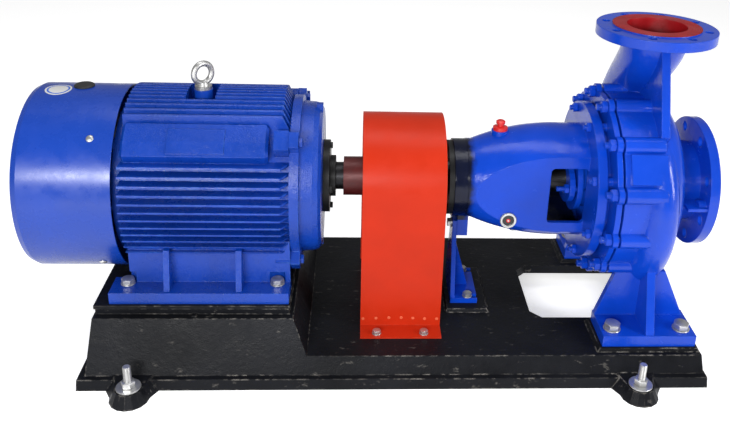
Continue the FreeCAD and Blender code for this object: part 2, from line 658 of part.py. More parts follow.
def make_guard():
    t = GUARD_T
    r = GUARD_R
    arch = ring(GUARD_X0, GUARD_X1, r, r - t).cut(box(GUARD_X0 - 1, GUARD_X1 + 1, -r - 1, r + 1, -r - 1, 0))
    shapes = [arch]
    for s in (-1, 1):
        y0 = min(s * r, s * (r - t))
        shapes.append(box(GUARD_X0, GUARD_X1, y0, y0 + t, DECK_Z, 0))
        y0 = min(s * (r - t), s * (r + 46))
        shapes.append(box(GUARD_X0, GUARD_X1, y0, y0 + 46 + t, DECK_Z, DECK_Z + t))
    cuts = []
    bolts = []
    for s in (-1, 1):
        for x in GUARD_BOLT_X:
            cuts.append(post(DECK_Z - 1, DECK_Z + t + 1, 5.6, x, s * GUARD_BOLT_Y))
            bolts.append(hex_bolt(V(x, s * GUARD_BOLT_Y, DECK_Z + t), Z_AXIS, 10, 22, 16, 6.5, 2))
    return fuse(shapes).cut(fuse(cuts)), group(bolts)


# pump casing
FACE_X = -83.5              # casing face that meets the gasket
COVER_X = -84.5             # cover face that meets the gasket
RIM_GAP = 5.0               # open gap between the cover rim and the casing rim
LAND_R = 178.0              # raised land that carries the gasket
STUD_R = 195.0
STUD_COUNT = 12
LOBE_R = 18.0
DRUM_R = 198.0
CHAMBER_R = 168.0
WALL = 11.0
SUCTION_R = 75.0
DISCHARGE_R = 62.5
FOOT_Z1 = -259.0


def stud_angle(i):
    return 15.0 + 360.0 * i / STUD_COUNT


def lobed_disc(x0, x1, r_disc, r_lobe):
    shapes = [rod(x0, x1, r_disc)]
    for i in range(STUD_COUNT):
        c = around(STUD_R, stud_angle(i))
        shapes.append(rod(x0, x1, r_lobe, c.y, c.z))
    return fuse(shapes)


def spiral_size(phi):
    # water passage radius grows with the swept area, the centre moves out with it
    r = 47.0 * math.sqrt((phi - 10.0) / 270.0)
    return r, 158.0 + 0.79 * r


def circle_at(centre, direction, radius):
    return Part.Wire([Part.makeCircle(radius, centre, direction)])


def spiral_centre(phi, rc):
    # swept from the top over the viewed side and under the shaft to the far side
    a = math.radians(phi)
    return V(0, -rc * math.sin(a), rc * math.cos(a)), V(0, -math.cos(a), -math.sin(a))


# y, share of the way up to the flange, direction and passage radius of the neck sections
NECK_Z0 = 118.0
NECK = [(164.0, 0.0, -0.42, 0.91, 46.0), (98.0, 0.417, -0.60, 0.80, 47.0),
        (28.0, 0.732, -0.46, 0.89, 52.0), (0.0, 1.0, 0.0, 1.0, 61.0)]


def make_passage(extra):
    # one loft of round sections: round the spiral, then up the neck to the flange
    wires = []
    for phi in (40, 80, 120, 160, 200, 240, 280):
        r, rc = spiral_size(phi)
        c, d = spiral_centre(phi, rc)
        wires.append(circle_at(c, d, r + extra))
    rise = DISCHARGE_RISE - 21.0 - NECK_Z0
    for y, share, dy, dz, radius in NECK:
        wires.append(circle_at(V(0, y, NECK_Z0 + share * rise), V(0, dy, dz), radius + extra))
    return Part.makeLoft(wires, True, False)


def suction_body():
    # drum, rounded shoulder and suction nozzle as one turned outline
    p = [V(FACE_X, 0, 0), V(FACE_X, 0, DRUM_R), V(0, 0, DRUM_R), V(58, 0, 128), V(82, 0, 90),
         V(118, 0, 88), V(118, 0, 0)]
    edges = [Part.makeLine(p[0], p[1]), Part.makeLine(p[1], p[2]),
             Part.Arc(p[2], V(43, 0, 176), p[3]).toShape(),
             Part.Arc(p[3], V(66, 0, 101), p[4]).toShape(),
             Part.makeLine(p[4], p[5]), Part.makeLine(p[5], p[6]), Part.makeLine(p[6], p[0])]
    return Part.Face(Part.Wire(edges)).revolve(V(0, 0, 0), X_AXIS, 360)


def make_volute():
    shapes = [suction_body()]
    for i in range(STUD_COUNT):
        c = around(STUD_R, stud_angle(i))
        reach = 0.0 if stud_angle(i) < 80 or stud_angle(i) > 300 else -30.0
        shapes.append(rod(FACE_X, reach, LOBE_R, c.y, c.z))
    shapes.append(rod(116, SUCTION_REACH - 3, 142.5))
    shapes.append(rod(SUCTION_REACH - 4, SUCTION_REACH, 106))
    shapes.append(post(DISCHARGE_RISE - 24, DISCHARGE_RISE - 3, 125))
    shapes.append(post(DISCHARGE_RISE - 4, DISCHARGE_RISE, 92))
    top = DISCHARGE_RISE - 22
    brace = [(-30, top), (-68, top), (-142, 158), (-120, 120), (40, 200)]
    shapes.append(plate_yz(brace, -9, 9))
    shapes.append(swing(box(-72, 4, -203, -185, -31, 31), 30))
    shapes.append(box(74, 117, -139, -80, -11, -4))
    shapes.append(rod(100, 117, 13, -118, -7))
    for s in (-1, 1):
        y0 = min(s * 130, s * 228)
        foot = box(-100, 100, y0, y0 + 98, -PUMP_FOOT_DROP, FOOT_Z1)
        shapes.append(foot)
        web = [(-64, -150), (44, -150), (96, FOOT_Z1 - 1), (-100, FOOT_Z1 - 1)]
        y0 = min(s * 134, s * 148)
        shapes.append(plate_xz(web, y0, y0 + 14))
        rib = [(s * 134, -100), (s * 172, -110), (s * 226, FOOT_Z1 - 1), (s * 134, FOOT_Z1 - 1)]
        shapes.append(plate_yz(rib, -9, 9))
    body = fuse(shapes).fuse(make_passage(WALL))

    chamber = turned([(FACE_X - 1, 0), (FACE_X - 1, CHAMBER_R), (17, CHAMBER_R), (25, 96), (25, 0)])
    cuts = [chamber, rod(20, SUCTION_REACH + 1, SUCTION_R), rod(20, 58, SUCTION_R + 2),
            rod(24, 46, 88 + FIT_GAP), post(DISCHARGE_RISE - 35, DISCHARGE_RISE + 1, DISCHARGE_R)]
    for i in range(8):
        c = around(120.0, 22.5 + 45.0 * i)
        cuts.append(rod(115, SUCTION_REACH + 1, 11, c.y, c.z))
        a = math.radians(22.5 + 45.0 * i)
        cuts.append(post(DISCHARGE_RISE - 25, DISCHARGE_RISE + 1, 9,
                         105 * math.cos(a), 105 * math.sin(a)))
    for i in range(STUD_COUNT):
        c = around(STUD_R, stud_angle(i))
        cuts.append(rod(FACE_X - 1, FACE_X + 36, 8.0 + FIT_GAP, c.y, c.z))
    for s in (-1, 1):
        for x in (-FOOT_BOLT_X, FOOT_BOLT_X):
            cuts.append(post(-PUMP_FOOT_DROP - 1, FOOT_Z1 + 20, 11.5, x, s * FOOT_BOLT_Y))
    return body.cut(make_passage(0.0)).cut(fuse(cuts))


BRACKET_STUD_R = 158.0
BRACKET_FACE_X = -112.0
BOX_R = 42.6
SLEEVE_R = 30.0
HUB_X0 = -40.0              # back of the impeller hub, where the sleeve ends
COVER_RIM_X = -100.0


def make_cover():
    rim = FACE_X - RIM_GAP
    shapes = [lobed_disc(COVER_RIM_X, rim, DRUM_R, LOBE_R), rod(rim - 1, COVER_X, LAND_R),
              rod(BRACKET_FACE_X, COVER_RIM_X + 1, 150), rod(COVER_X - 1, -42, CHAMBER_R - FIT_GAP)]
    for i in range(8):
        c = around(BRACKET_STUD_R, 22.5 + 45.0 * i)
        shapes.append(rod(BRACKET_FACE_X, COVER_RIM_X + 1, 10, c.y, c.z))
    body = fuse(shapes)
    body = body.cut(turned([(-113, 0), (-113, 136), (-92, 140), (-56, 140), (-56, 0)]))
    body = fuse([body, rod(-146, -50, 62), rod(-146, -134, 70)])
    cuts = [rod(-147, -92, BOX_R), rod(-100, -41, SLEEVE_R + 0.6)]
    for i in range(STUD_COUNT):
        c = around(STUD_R, stud_angle(i))
        cuts.append(rod(-113, COVER_X + 1, 8.6, c.y, c.z))
    for i in range(8):
        c = around(BRACKET_STUD_R, 22.5 + 45.0 * i)
        cuts.append(rod(-113, -93, 6.0 + FIT_GAP, c.y, c.z))
    for s in (-1, 1):
        cuts.append(rod(-147, -122, 6.0 + FIT_GAP, s * 56.0, 0))
    return body.cut(fuse(cuts))


def make_gasket():
    return ring(COVER_X, FACE_X, LAND_R - 0.6, CHAMBER_R + 0.4)


def make_studs():
    studs = []
    nuts = []
    for i in range(STUD_COUNT):
        c = around(STUD_R, stud_angle(i))
        studs.append(rod(-123, FACE_X + 34, 8.0, c.y, c.z))
        nuts.append(hex_nut(V(COVER_RIM_X, c.y, c.z), -X_AXIS, 16, 24, 13))
    b_studs = []
    b_nuts = []
    for i in range(8):
        c = around(BRACKET_STUD_R, 22.5 + 45.0 * i)
        b_studs.append(rod(-149, -94, 6.0, c.y, c.z))
        b_nuts.append(hex_nut(V(BRACKET_FACE_X - 20, c.y, c.z), -X_AXIS, 12, 19, 10))
    return group(studs), group(nuts), group(b_studs), group(b_nuts)


# bearing bracket
FLAT_Y = 88.0
BRACKET_WALL = 11.0
WINDOW_X0 = -212.0
WINDOW_Z0 = -66.0
WINDOW_Z1 = 62.0
HOUSING_R = 86.0
P_BEARING_R = 55.0
P_BEARING_W = 27.0
P_SEAT_R = 25.0
HOUSING_X0 = -414.0
SIGHT_X = -296.0
SIGHT_Z = -60.0
CAP_X = -313.0
PLUG_X = -265.0


def barrel_outline(shrink, x0, x1):
    # body of the bracket narrows along one arc towards the coupling end
    a = V(-170, 0, 124.5 - shrink)
    b = V(-372, 0, HOUSING_R + 1 - shrink)
    edges = [Part.makeLine(V(x0, 0, 0), V(x0, 0, HOUSING_R + 1 - shrink)),
             Part.makeLine(V(x0, 0, HOUSING_R + 1 - shrink), b),
             Part.Arc(b, V(-290, 0, 113 - shrink), a).toShape(),
             Part.makeLine(a, V(x1, 0, 124.5 - shrink)),
             Part.makeLine(V(x1, 0, 124.5 - shrink), V(x1, 0, 0)),
             Part.makeLine(V(x1, 0, 0), V(x0, 0, 0))]
    return Part.Face(Part.Wire(edges)).revolve(V(0, 0, 0), X_AXIS, 360)


def slab(x0, x1, half):
    return box(x0, x1, -half, half, -200, 200)


def make_bracket():
    barrel = barrel_outline(0, -385, -120).common(slab(-386, -119, FLAT_Y))
    shapes = [barrel, rod(HOUSING_X0, -370, HOUSING_R), rod(BRACKET_FACE_X - 20, BRACKET_FACE_X, 173),
              box(-397, -373, -24, 24, -134, -80), post(90, 114, 19, CAP_X, 0),
              post(-122, -100, 13, PLUG_X, 0)]
    body = fuse(shapes)
    chamber = turned([(-376, 0), (-376, HOUSING_R - BRACKET_WALL), (-290, 101), (-244, 110), (-244, 0)])
    chamber = chamber.common(slab(-377, -243, FLAT_Y - BRACKET_WALL))
    lantern = rod(-224, BRACKET_FACE_X + 1, 113.5)
    lantern = lantern.common(slab(-225, BRACKET_FACE_X + 1, FLAT_Y - BRACKET_WALL))
    body = body.cut(fuse([chamber, lantern]))
    body = body.fuse(rod(-262, -224, 74))
    window = box(WINDOW_X0, BRACKET_FACE_X - 20, -100, 100, WINDOW_Z0, WINDOW_Z1)
    window = window.makeFillet(9.0, [e for e in window.Edges if e.BoundBox.YLength > 190])
    cuts = [rod(HOUSING_X0 - 1, -382, P_BEARING_R + FIT_GAP), rod(-383, -375, 48),
            rod(-256, -222, P_BEARING_R + FIT_GAP), rod(-263, -255, 46),
            window,
            side_rod(-FLAT_Y - 1, -FLAT_Y + 12, 13 + FIT_GAP, SIGHT_X, SIGHT_Z),
            post(80, 115, 10 + FIT_GAP, CAP_X, 0), post(-123, -90, 6 + FIT_GAP, PLUG_X, 0),
            rod(-398, -372, 6 + FIT_GAP, 0, -113)]
    for i in range(8):
        c = around(BRACKET_STUD_R, 22.5 + 45.0 * i)
        cuts.append(rod(BRACKET_FACE_X - 21, BRACKET_FACE_X + 1, 6.6, c.y, c.z))
    for a in (45, 135, 225, 315):
        c = around(70.0, a)
        cuts.append(rod(HOUSING_X0 - 1, HOUSING_X0 + 24, 5 + FIT_GAP, c.y, c.z))
        c = around(64.5, a)
        cuts.append(rod(-246, -222, 5 + FIT_GAP, c.y, c.z))
    return body.cut(fuse(cuts))


def make_bearing_covers():
    x0 = HOUSING_X0
    outer = fuse([rod(x0 - 11, x0, 82), ring(x0 - 1, x0 + 5, P_BEARING_R - FIT_GAP, 47)])
    inner = fuse([rod(-224, -215, 73), ring(-229, -223, P_BEARING_R - FIT_GAP, 47)])
    outer = outer.cut(rod(x0 - 12, x0 + 6, P_SEAT_R + 0.4))
    inner = inner.cut(rod(-230, -214, P_SEAT_R + 0.4))
    bolts = []
    for a in (45, 135, 225, 315):
        c = around(70.0, a)
        outer = outer.cut(rod(x0 - 12, x0 + 1, 5.5, c.y, c.z))
        bolts.append(hex_bolt(around(70.0, a, x0 - 11), -X_AXIS, 10, 30, 16, 6.5))
        c = around(64.5, a)
        inner = inner.cut(rod(-225, -214, 5.5, c.y, c.z))
        bolts.append(hex_bolt(around(64.5, a, -215), X_AXIS, 10, 30, 16, 6.5))
    return group([outer, inner]), group(bolts)


def make_pump_bearings():
    return group([ball_bearing(-409, P_BEARING_W, P_SEAT_R + RUN_GAP, P_BEARING_R),
                  ball_bearing(-256, P_BEARING_W, P_SEAT_R + RUN_GAP, P_BEARING_R)])


def make_pump_shaft():
    steps = [(-537, -427, 21.0), (-427, -382, P_SEAT_R), (-382, -256, 29.0), (-256, -205, P_SEAT_R),
             (-205, HUB_X0, 22.5), (HUB_X0, 24, 20.0), (24, 46, 14.0)]
    shaft = fuse([rod(a, b, r) for a, b, r in steps])
    tips = [e for e in shaft.Edges if e.BoundBox.XMax < -536.9]
    shaft = shaft.makeChamfer(1.5, tips)
    keyway = box(-531, -449, -6 - FIT_GAP, 6 + FIT_GAP, 16, 30)
    key = box(-530.5, -449.5, -6, 6, 16 + FIT_GAP, 24.4)
    return shaft.cut(keyway), key


def make_sleeve():
    return ring(-205, HUB_X0, SLEEVE_R, 22.5 + FIT_GAP)


IMPELLER_R = 157.5


def vane(start):
    # backward-curved blade: constant thickness between two arcs
    outer = []
    inner = []
    for i in range(9):
        t = i / 8.0
        r = 62.0 + (IMPELLER_R - 3.0 - 62.0) * t
        a = math.radians(start + 82.0 * t)
        half = 3.2 / r
        outer.append((r * math.cos(a + half), r * math.sin(a + half)))
        inner.append((r * math.cos(a - half), r * math.sin(a - half)))
    return plate_yz(outer + inner[::-1], -30, 12)


def make_impeller():
    back = turned([(HUB_X0, 20), (HUB_X0, 32), (-34, 46), (-34, IMPELLER_R), (-27, IMPELLER_R),
                   (-24, 70), (-10, 34), (24, 28), (24, 20)])
    front = turned([(7, IMPELLER_R), (13, IMPELLER_R), (17, 96), (24, 80), (44, 80), (44, 72),
                    (22, 72), (12, 82), (9, 96)])
    body = fuse([back, front] + [vane(60.0 * i) for i in range(6)])
    return body.cut(rod(HUB_X0 - 1, 25, 20.0 + FIT_GAP))


def make_impeller_nut():
    dome = turned([(24, 0), (24, 24), (36, 24), (48, 16), (54, 0)])
    return dome.cut(rod(23, 46 + FIT_GAP, 14.0 + FIT_GAP))


def make_wear_ring():
    return ring(26, 46, 88, 80.3)


def make_packing():
    rings = []
    for i in range(4):
        x1 = -92.0 - 11.3 * i
        rings.append(ring(x1 - 11.3, x1, BOX_R - FIT_GAP, SLEEVE_R + RUN_GAP))
    return group(rings)


def make_gland():
    # oval flange with a nose that presses on the last packing ring
    pts = []
    for i in range(24):
        a = 2 * math.pi * i / 24
        pts.append((math.cos(a) * 70.0 if abs(math.cos(a)) > 0.01 else 0.0, math.sin(a) * 48.0))
    flange = plate_yz(pts, -163, -151)
    nose = rod(-152, -137.5, BOX_R - 0.3)
    body = fuse([flange, nose])
    cuts = [rod(-164, -137, SLEEVE_R + 0.5)]
    studs = []
    nuts = []
    for s in (-1, 1):
        y = s * 56.0
        cuts.append(rod(-164, -150, 6.6, y, 0))
        studs.append(rod(-190, -123, 6.0, y, 0))
        nut = hexagon(19, 10, V(-163, y, 0), -X_AXIS)
        nuts.append(nut.cut(rod(-180, -160, 6.0 + 0.3, y, 0)))
    return body.cut(fuse(cuts)), group(studs), group(nuts)


def make_sight_glass():
    bezel = side_rod(-FLAT_Y - 5, -FLAT_Y, 18, SIGHT_X, SIGHT_Z)
    bezel = bezel.fuse(side_rod(-FLAT_Y - 1, -FLAT_Y + 10, 13, SIGHT_X, SIGHT_Z))
    return bezel.cut(side_rod(-FLAT_Y - 6, -FLAT_Y - 2.5, 12.5, SIGHT_X, SIGHT_Z))


def make_filler_cap():
    z0 = 114.0
    outline = [(0, z0 - 14), (10, z0 - 14), (10, z0), (16, z0), (16, z0 + 7), (7, z0 + 10),
               (7, z0 + 13), (10, z0 + 15), (10, z0 + 20), (7, z0 + 22), (0, z0 + 22)]
    pts = [V(CAP_X + r, 0, z) for r, z in outline]
    face = Part.Face(Part.makePolygon(pts + [pts[0]]))
    return face.revolve(V(CAP_X, 0, 0), Z_AXIS, 360)


def make_drain_plug():
    return fuse([hexagon(19, 7, V(PLUG_X, 0, -129), Z_AXIS), post(-124, -104, 6, PLUG_X, 0)])


def make_stand():
    z0 = PAD_TOP_Z
    leg = plate_yz([(-62, z0), (62, z0), (62, z0 + 12), (25, -140), (25, -97), (-25, -97),
                    (-25, -140), (-62, z0 + 12)], -407, -397)
    foot = box(-407, -346, -66, 66, z0, z0 + 12)
    web = plate_xz([(-398, -150), (-362, z0 + 11), (-398, z0 + 11)], -6, 6)
    body = fuse([leg, foot, web])
    cuts = [rod(-408, -396, 6.6, 0, -113)]
    for s in (-1, 1):
        cuts.append(post(z0 - 1, z0 + 13, 6.8, STAND_BOLT_X, s * STAND_BOLT_Y))
        y = s * STAND_BOLT_Y
        cuts.append(box(STAND_BOLT_X, -345, y - 6.8, y + 6.8, z0 - 1, z0 + 13))
    body = body.cut(fuse(cuts))
    bolts = [hex_bolt(V(-407, 0, -113), -X_AXIS, 12, 32, 18, 7.5, 2)]
    for s in (-1, 1):
        bolts.append(hex_bolt(V(STAND_BOLT_X, s * STAND_BOLT_Y, z0 + 12), Z_AXIS, 12, 32, 18, 7.5, 2))
    return body, group(bolts)


def make_pump_foot_bolts():
    bolts = []
    for s in (-1, 1):
        for x in (-FOOT_BOLT_X, FOOT_BOLT_X):
            bolts.append(hex_bolt(V(x, s * FOOT_BOLT_Y, FOOT_Z1), Z_AXIS, 20, 46, 30, 12.5, 3))
    return group(bolts)


# build and write every piece
save("baseplate", make_base())
foundation_bolts, foundation_nuts, foundation_washers = make_foundation()
save("foundation_bolts", foundation_bolts)
save("foundation_nuts", foundation_nuts)
save("foundation_washers", foundation_washers)

save("motor_frame", make_motor_frame())
save("motor_foot_bolts", make_motor_foot_bolts())
save("drive_end_shield", make_drive_shield())
save("fan_end_shield", make_fan_shield())
save("end_shield_bolts", make_shield_bolts())
bearing_cap, bearing_cap_bolts = make_bearing_cap()
save("bearing_cap", bearing_cap)
save("bearing_cap_bolts", bearing_cap_bolts)
motor_shaft, motor_key = make_motor_shaft()
save("motor_shaft", motor_shaft)
save("motor_coupling_key", motor_key)
save("rotor_core", make_rotor_core())
stator_core, stator_windings = make_stator()
save("stator_core", stator_core)
save("stator_windings", stator_windings)
save("motor_bearings", make_motor_bearings())
save("cooling_fan", make_fan())
fan_cowl, fan_cowl_screws = make_cowl()
save("fan_cowl", fan_cowl)
save("fan_cowl_screws", fan_cowl_screws)
save("cowl_plug", make_cowl_plug())
save("lifting_eye", make_lifting_eye())
tub, lid, lid_screws, cable_gland = make_terminal_box()
save("terminal_box", tub)
save("terminal_box_lid", lid)
save("terminal_lid_screws", lid_screws)
save("cable_gland", cable_gland)

motor_half, pump_half, pins, bushes, pin_nuts = make_coupling()
save("motor_coupling_half", motor_half)
save("pump_coupling_half", pump_half)
save("coupling_pins", pins)
save("coupling_bushes", bushes)
save("coupling_nuts", pin_nuts)
guard, guard_bolts = make_guard()
save("coupling_guard", guard)
save("guard_bolts", guard_bolts)

save("volute_casing", make_volute())
save("casing_gasket", make_gasket())
save("casing_cover", make_cover())
casing_studs, casing_nuts, bracket_studs, bracket_nuts = make_studs()
save("casing_studs", casing_studs)
save("casing_nuts", casing_nuts)
save("bracket_studs", bracket_studs)
save("bracket_nuts", bracket_nuts)
save("bearing_bracket", make_bracket())
bearing_covers, bearing_cover_bolts = make_bearing_covers()
save("bearing_covers", bearing_covers)
save("bearing_cover_bolts", bearing_cover_bolts)
save("pump_bearings", make_pump_bearings())
pump_shaft, pump_key = make_pump_shaft()
save("pump_shaft", pump_shaft)
save("pump_coupling_key", pump_key)
save("shaft_sleeve", make_sleeve())
save("impeller", make_impeller())
save("impeller_nut", make_impeller_nut())
save("casing_wear_ring", make_wear_ring())
save("packing_rings", make_packing())
gland, gland_studs, gland_nuts = make_gland()
save("packing_gland", gland)
save("gland_studs", gland_studs)
save("gland_nuts", gland_nuts)
save("oil_sight_glass", make_sight_glass())
save("filler_cap", make_filler_cap())
save("drain_plug", make_drain_plug())
stand, stand_bolts = make_stand()
save("support_stand", stand)
save("stand_bolts", stand_bolts)
save("pump_foot_bolts", make_pump_foot_bolts())
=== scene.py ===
import math

import bmesh
import bpy
from bpy.props import FloatProperty, FloatVectorProperty, IntProperty, PointerProperty
from mathutils import Matrix, Vector


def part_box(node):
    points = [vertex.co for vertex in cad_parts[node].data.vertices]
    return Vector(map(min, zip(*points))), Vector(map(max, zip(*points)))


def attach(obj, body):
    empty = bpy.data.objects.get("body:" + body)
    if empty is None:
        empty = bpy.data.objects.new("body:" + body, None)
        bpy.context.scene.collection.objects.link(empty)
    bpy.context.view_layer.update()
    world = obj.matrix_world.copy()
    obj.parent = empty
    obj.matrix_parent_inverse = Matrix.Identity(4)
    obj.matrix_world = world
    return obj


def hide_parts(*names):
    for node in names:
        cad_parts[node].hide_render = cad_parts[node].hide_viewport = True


bl_info = {
    "name": "Irrigation Pump Set",
    "version": (1, 0, 0),
    "blender": (4, 5, 0),
    "location": "3D View > Sidebar > Pump Set",
    "description": "Dresses the pump set: enamel, cast iron, zinc fasteners, weld spots, label and studio",
    "category": "Object",
}

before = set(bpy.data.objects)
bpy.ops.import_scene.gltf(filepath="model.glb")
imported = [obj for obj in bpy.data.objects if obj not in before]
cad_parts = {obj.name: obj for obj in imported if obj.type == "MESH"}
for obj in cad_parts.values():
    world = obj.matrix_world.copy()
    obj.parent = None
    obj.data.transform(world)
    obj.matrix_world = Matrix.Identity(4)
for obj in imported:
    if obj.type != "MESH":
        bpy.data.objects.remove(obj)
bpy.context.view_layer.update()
SET = "pump_set"

# Every length below is in metres from the point on the shaft line under the discharge flange.
NUT_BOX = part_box("impeller_nut")
SHAFT_Z = (NUT_BOX[0][2] + NUT_BOX[1][2]) / 2.0
ORIGIN = Vector((0.5765, 0.0, SHAFT_Z))
UP = Vector((0, 0, 1))
TO_MOTOR = Vector((-1, 0, 0))
TO_SUCTION = Vector((1, 0, 0))
TO_FAR_SIDE = Vector((0, 1, 0))
TO_VIEWER = Vector((0, -1, 0))

# thread diameters of the bolts and studs
M6, M8, M10, M12, M16, M20 = 0.006, 0.008, 0.010, 0.012, 0.016, 0.020
# by thread: distance over the flats and height
HEADS = {M6: (0.010, 0.0040), M8: (0.013, 0.0055), M10: (0.016, 0.0065), M12: (0.018, 0.0075),
         M16: (0.024, 0.0100), M20: (0.030, 0.0125)}
NUTS = {M12: (0.019, 0.010), M16: (0.024, 0.013)}
# by thread: share of the user's thread pitch, and chamfer of the tip
THREADS = {M12: (0.875, 0.0012), M16: (1.0, 0.0015)}

# degrees round the shaft
QUARTERS = (0, 90, 180, 270)
DIAGONALS = (45, 135, 225, 315)


def place(x, y, z):
    return ORIGIN + Vector((x, y, z))


def corners(xs, ys, z):
    """Seats at the corners of a rectangle, all at one height."""
    return [place(x, y, z) for x in xs for y in ys]


def around_shaft(radius, degrees, x):
    """Point round the shaft: 0 degrees is the viewed side, 90 is above."""
    a = math.radians(degrees)
    return place(x, -radius * math.cos(a), radius * math.sin(a))


# sizes and colours that a user would change
class PumpSizes(bpy.types.PropertyGroup):
    weld_radius: FloatProperty(
        name="Weld spot radius", description="Size of the spot welds on the guard foot",
        default=0.0036, min=0.001, max=0.008, unit="LENGTH")
    weld_count: IntProperty(
        name="Weld spots", description="Spot welds along each side of the guard",
        default=7, min=2, max=14)
    label_radius: FloatProperty(
        name="Label radius", description="Round blank label on top of the fan cowl",
        default=0.0265, min=0.01, max=0.04, unit="LENGTH")
    thread_pitch: FloatProperty(
        name="Thread pitch", description="Distance between the crests of the stud threads",
        default=0.002, min=0.001, max=0.004, unit="LENGTH")
    groove_pitch: FloatProperty(
        name="Groove pitch", description="Distance between the turned grooves of a flange face",
        default=0.0032, min=0.001, max=0.006, unit="LENGTH")


class PumpColours(bpy.types.PropertyGroup):
    motor_blue: FloatVectorProperty(
        name="Motor blue", description="Satin enamel of the motor",
        default=(0.0030, 0.0400, 0.3200), subtype="COLOR", min=0.0, max=1.0)
    pump_blue: FloatVectorProperty(
        name="Pump blue", description="Gloss enamel of the pump",
        default=(0.0025, 0.0480, 0.4700), subtype="COLOR", min=0.0, max=1.0)
    guard_red: FloatVectorProperty(
        name="Guard red", description="Orange-red enamel of the coupling guard",
        default=(0.4600, 0.0230, 0.0055), subtype="COLOR", min=0.0, max=1.0)
    primer_red: FloatVectorProperty(
        name="Primer red", description="Primer inside the flange mouths",
        default=(0.3100, 0.0035, 0.0070), subtype="COLOR", min=0.0, max=1.0)
    base_black: FloatVectorProperty(
        name="Base black", description="Enamel of the cast base",
        default=(0.0065, 0.0070, 0.0090), subtype="COLOR", min=0.0, max=1.0)
    zinc: FloatVectorProperty(
        name="Zinc", description="Plating of the bolts and washers",
        default=(0.6200, 0.6200, 0.6100), subtype="COLOR", min=0.0, max=1.0)


class PumpStudio(bpy.types.PropertyGroup):
    camera_at: FloatVectorProperty(
        name="Camera", description="Where the photograph was taken from",
        default=(-0.0457, -1.6725, 1.1398), subtype="TRANSLATION", unit="LENGTH")
    yaw: FloatProperty(
        name="Yaw", description="Turn of the camera to the right", default=0.07, subtype="ANGLE")
    pitch: FloatProperty(
        name="Pitch", description="Tilt of the camera above level", default=-0.3756, subtype="ANGLE")
    roll: FloatProperty(
        name="Roll", description="Turn of the camera about its view", default=0.0408, subtype="ANGLE")
    lens: FloatProperty(
        name="Lens", description="Focal length for a 36 mm wide sensor, in millimetres",
        default=41.3, min=10.0, max=200.0)
    shift: FloatVectorProperty(
        name="Shift", description="Sideways and upward shift of the lens",
        size=2, default=(-0.0647, -0.1222))
    key_power: FloatProperty(
        name="Key lamp", description="Power of the large lamp on the viewed side",
        default=98.0, min=0.0, unit="POWER")
    fill_power: FloatProperty(
        name="Fill lamp", description="Power of the lamp on the pump side",
        default=52.0, min=0.0, unit="POWER")
    top_power: FloatProperty(
        name="Top lamp", description="Power of the lamp above the set",
        default=34.0, min=0.0, unit="POWER")
    sky: FloatProperty(
        name="Room light", description="Strength of the even light from all round",
        default=0.30, min=0.0, max=3.0)
    backdrop: FloatProperty(
        name="Backdrop", description="White added to the floor for the viewer alone",
        default=0.56, min=0.0, max=2.0)


# node helpers
def add(tree, kind, **values):
    made = tree.nodes.new("ShaderNode" + kind)
    for key, value in values.items():
        if key in made.inputs:
            made.inputs[key].default_value = value
        else:
            setattr(made, key, value)
    return made


def join(tree, source, output, target, socket):
    tree.links.new(source.outputs[output], target.inputs[socket])


def math_node(tree, operation, first, second):
    """One sum of two values, each a number or a socket."""
    made = add(tree, "Math", operation=operation)
    for i, value in enumerate((first, second)):
        if isinstance(value, (int, float)):
            made.inputs[i].default_value = value
        else:
            tree.links.new(value, made.inputs[i])
    return made.outputs[0]


def product(tree, *values):
    """All values multiplied with one another."""
    total = values[0]
    for value in values[1:]:
        total = math_node(tree, "MULTIPLY", total, value)
    return total


def largest(tree, *values):
    """The greatest of the values."""
    total = values[0]
    for value in values[1:]:
        total = math_node(tree, "MAXIMUM", total, value)
    return total


def spread(tree, value, low, high, to_low, to_high):
    """Maps the range low to high onto another range, and holds its ends."""
    made = add(tree, "MapRange")
    tree.links.new(value, made.inputs["Value"])
    for key, number in (("From Min", low), ("From Max", high), ("To Min", to_low), ("To Max", to_high)):
        made.inputs[key].default_value = number
    return made.outputs["Result"]


def noise(tree, coords, scale, detail=3.0, rough=0.55, stretch=None):
    made = add(tree, "TexNoise", Scale=scale, Detail=detail, Roughness=rough)
    if stretch:
        mapping = add(tree, "Mapping")
        mapping.inputs["Scale"].default_value = stretch
        tree.links.new(coords, mapping.inputs["Vector"])
        coords = mapping.outputs["Vector"]
    tree.links.new(coords, made.inputs["Vector"])
    return made.outputs["Fac"]


# where most of a noise lies
NOISE_LOW = 0.3
NOISE_HIGH = 0.7


def clouds(tree, pattern, to_low=0.0, to_high=1.0):
    """Stretches the middle of a noise, where most of it lies, over a range."""
    return spread(tree, pattern, NOISE_LOW, NOISE_HIGH, to_low, to_high)


def blend(tree, factor, first, second):
    """Mixes two colours, each a tuple or a socket."""
    made = add(tree, "Mix", data_type="RGBA")
    tree.links.new(factor, made.inputs["Factor"])
    for socket, value in (("A", first), ("B", second)):
        target = [s for s in made.inputs if s.name == socket and s.type == "RGBA"][0]
        if isinstance(value, tuple):
            target.default_value = value
        else:
            tree.links.new(value, target)
    return [s for s in made.outputs if s.type == "RGBA"][0]


def rgba(colour, share=1.0):
    return tuple(min(1.0, c * share) for c in colour[:3]) + (1.0,)


def patchy(tree, pattern, colour, patch):
    """Uneven colour, lighter and darker than the named one by the share patch."""
    return blend(tree, pattern, rgba(colour, 1.0 - patch), rgba(colour, 1.0 + patch))


BEVEL_SAMPLES = 4
# chips and painted edge highlights: their noise scale, the turn of the normal that counts as an edge, and
# their reach past it
WEAR_AND_GLINT_GRAIN = 70.0
WEAR_AND_GLINT_TURN = 0.10
CHIP_AND_GLINT_REACH = 1.4
CHIP_AND_GLINT_DULLNESS = 0.25
SCUFF_DULLNESS = 0.3
GRAIN_DULLNESS = 0.06


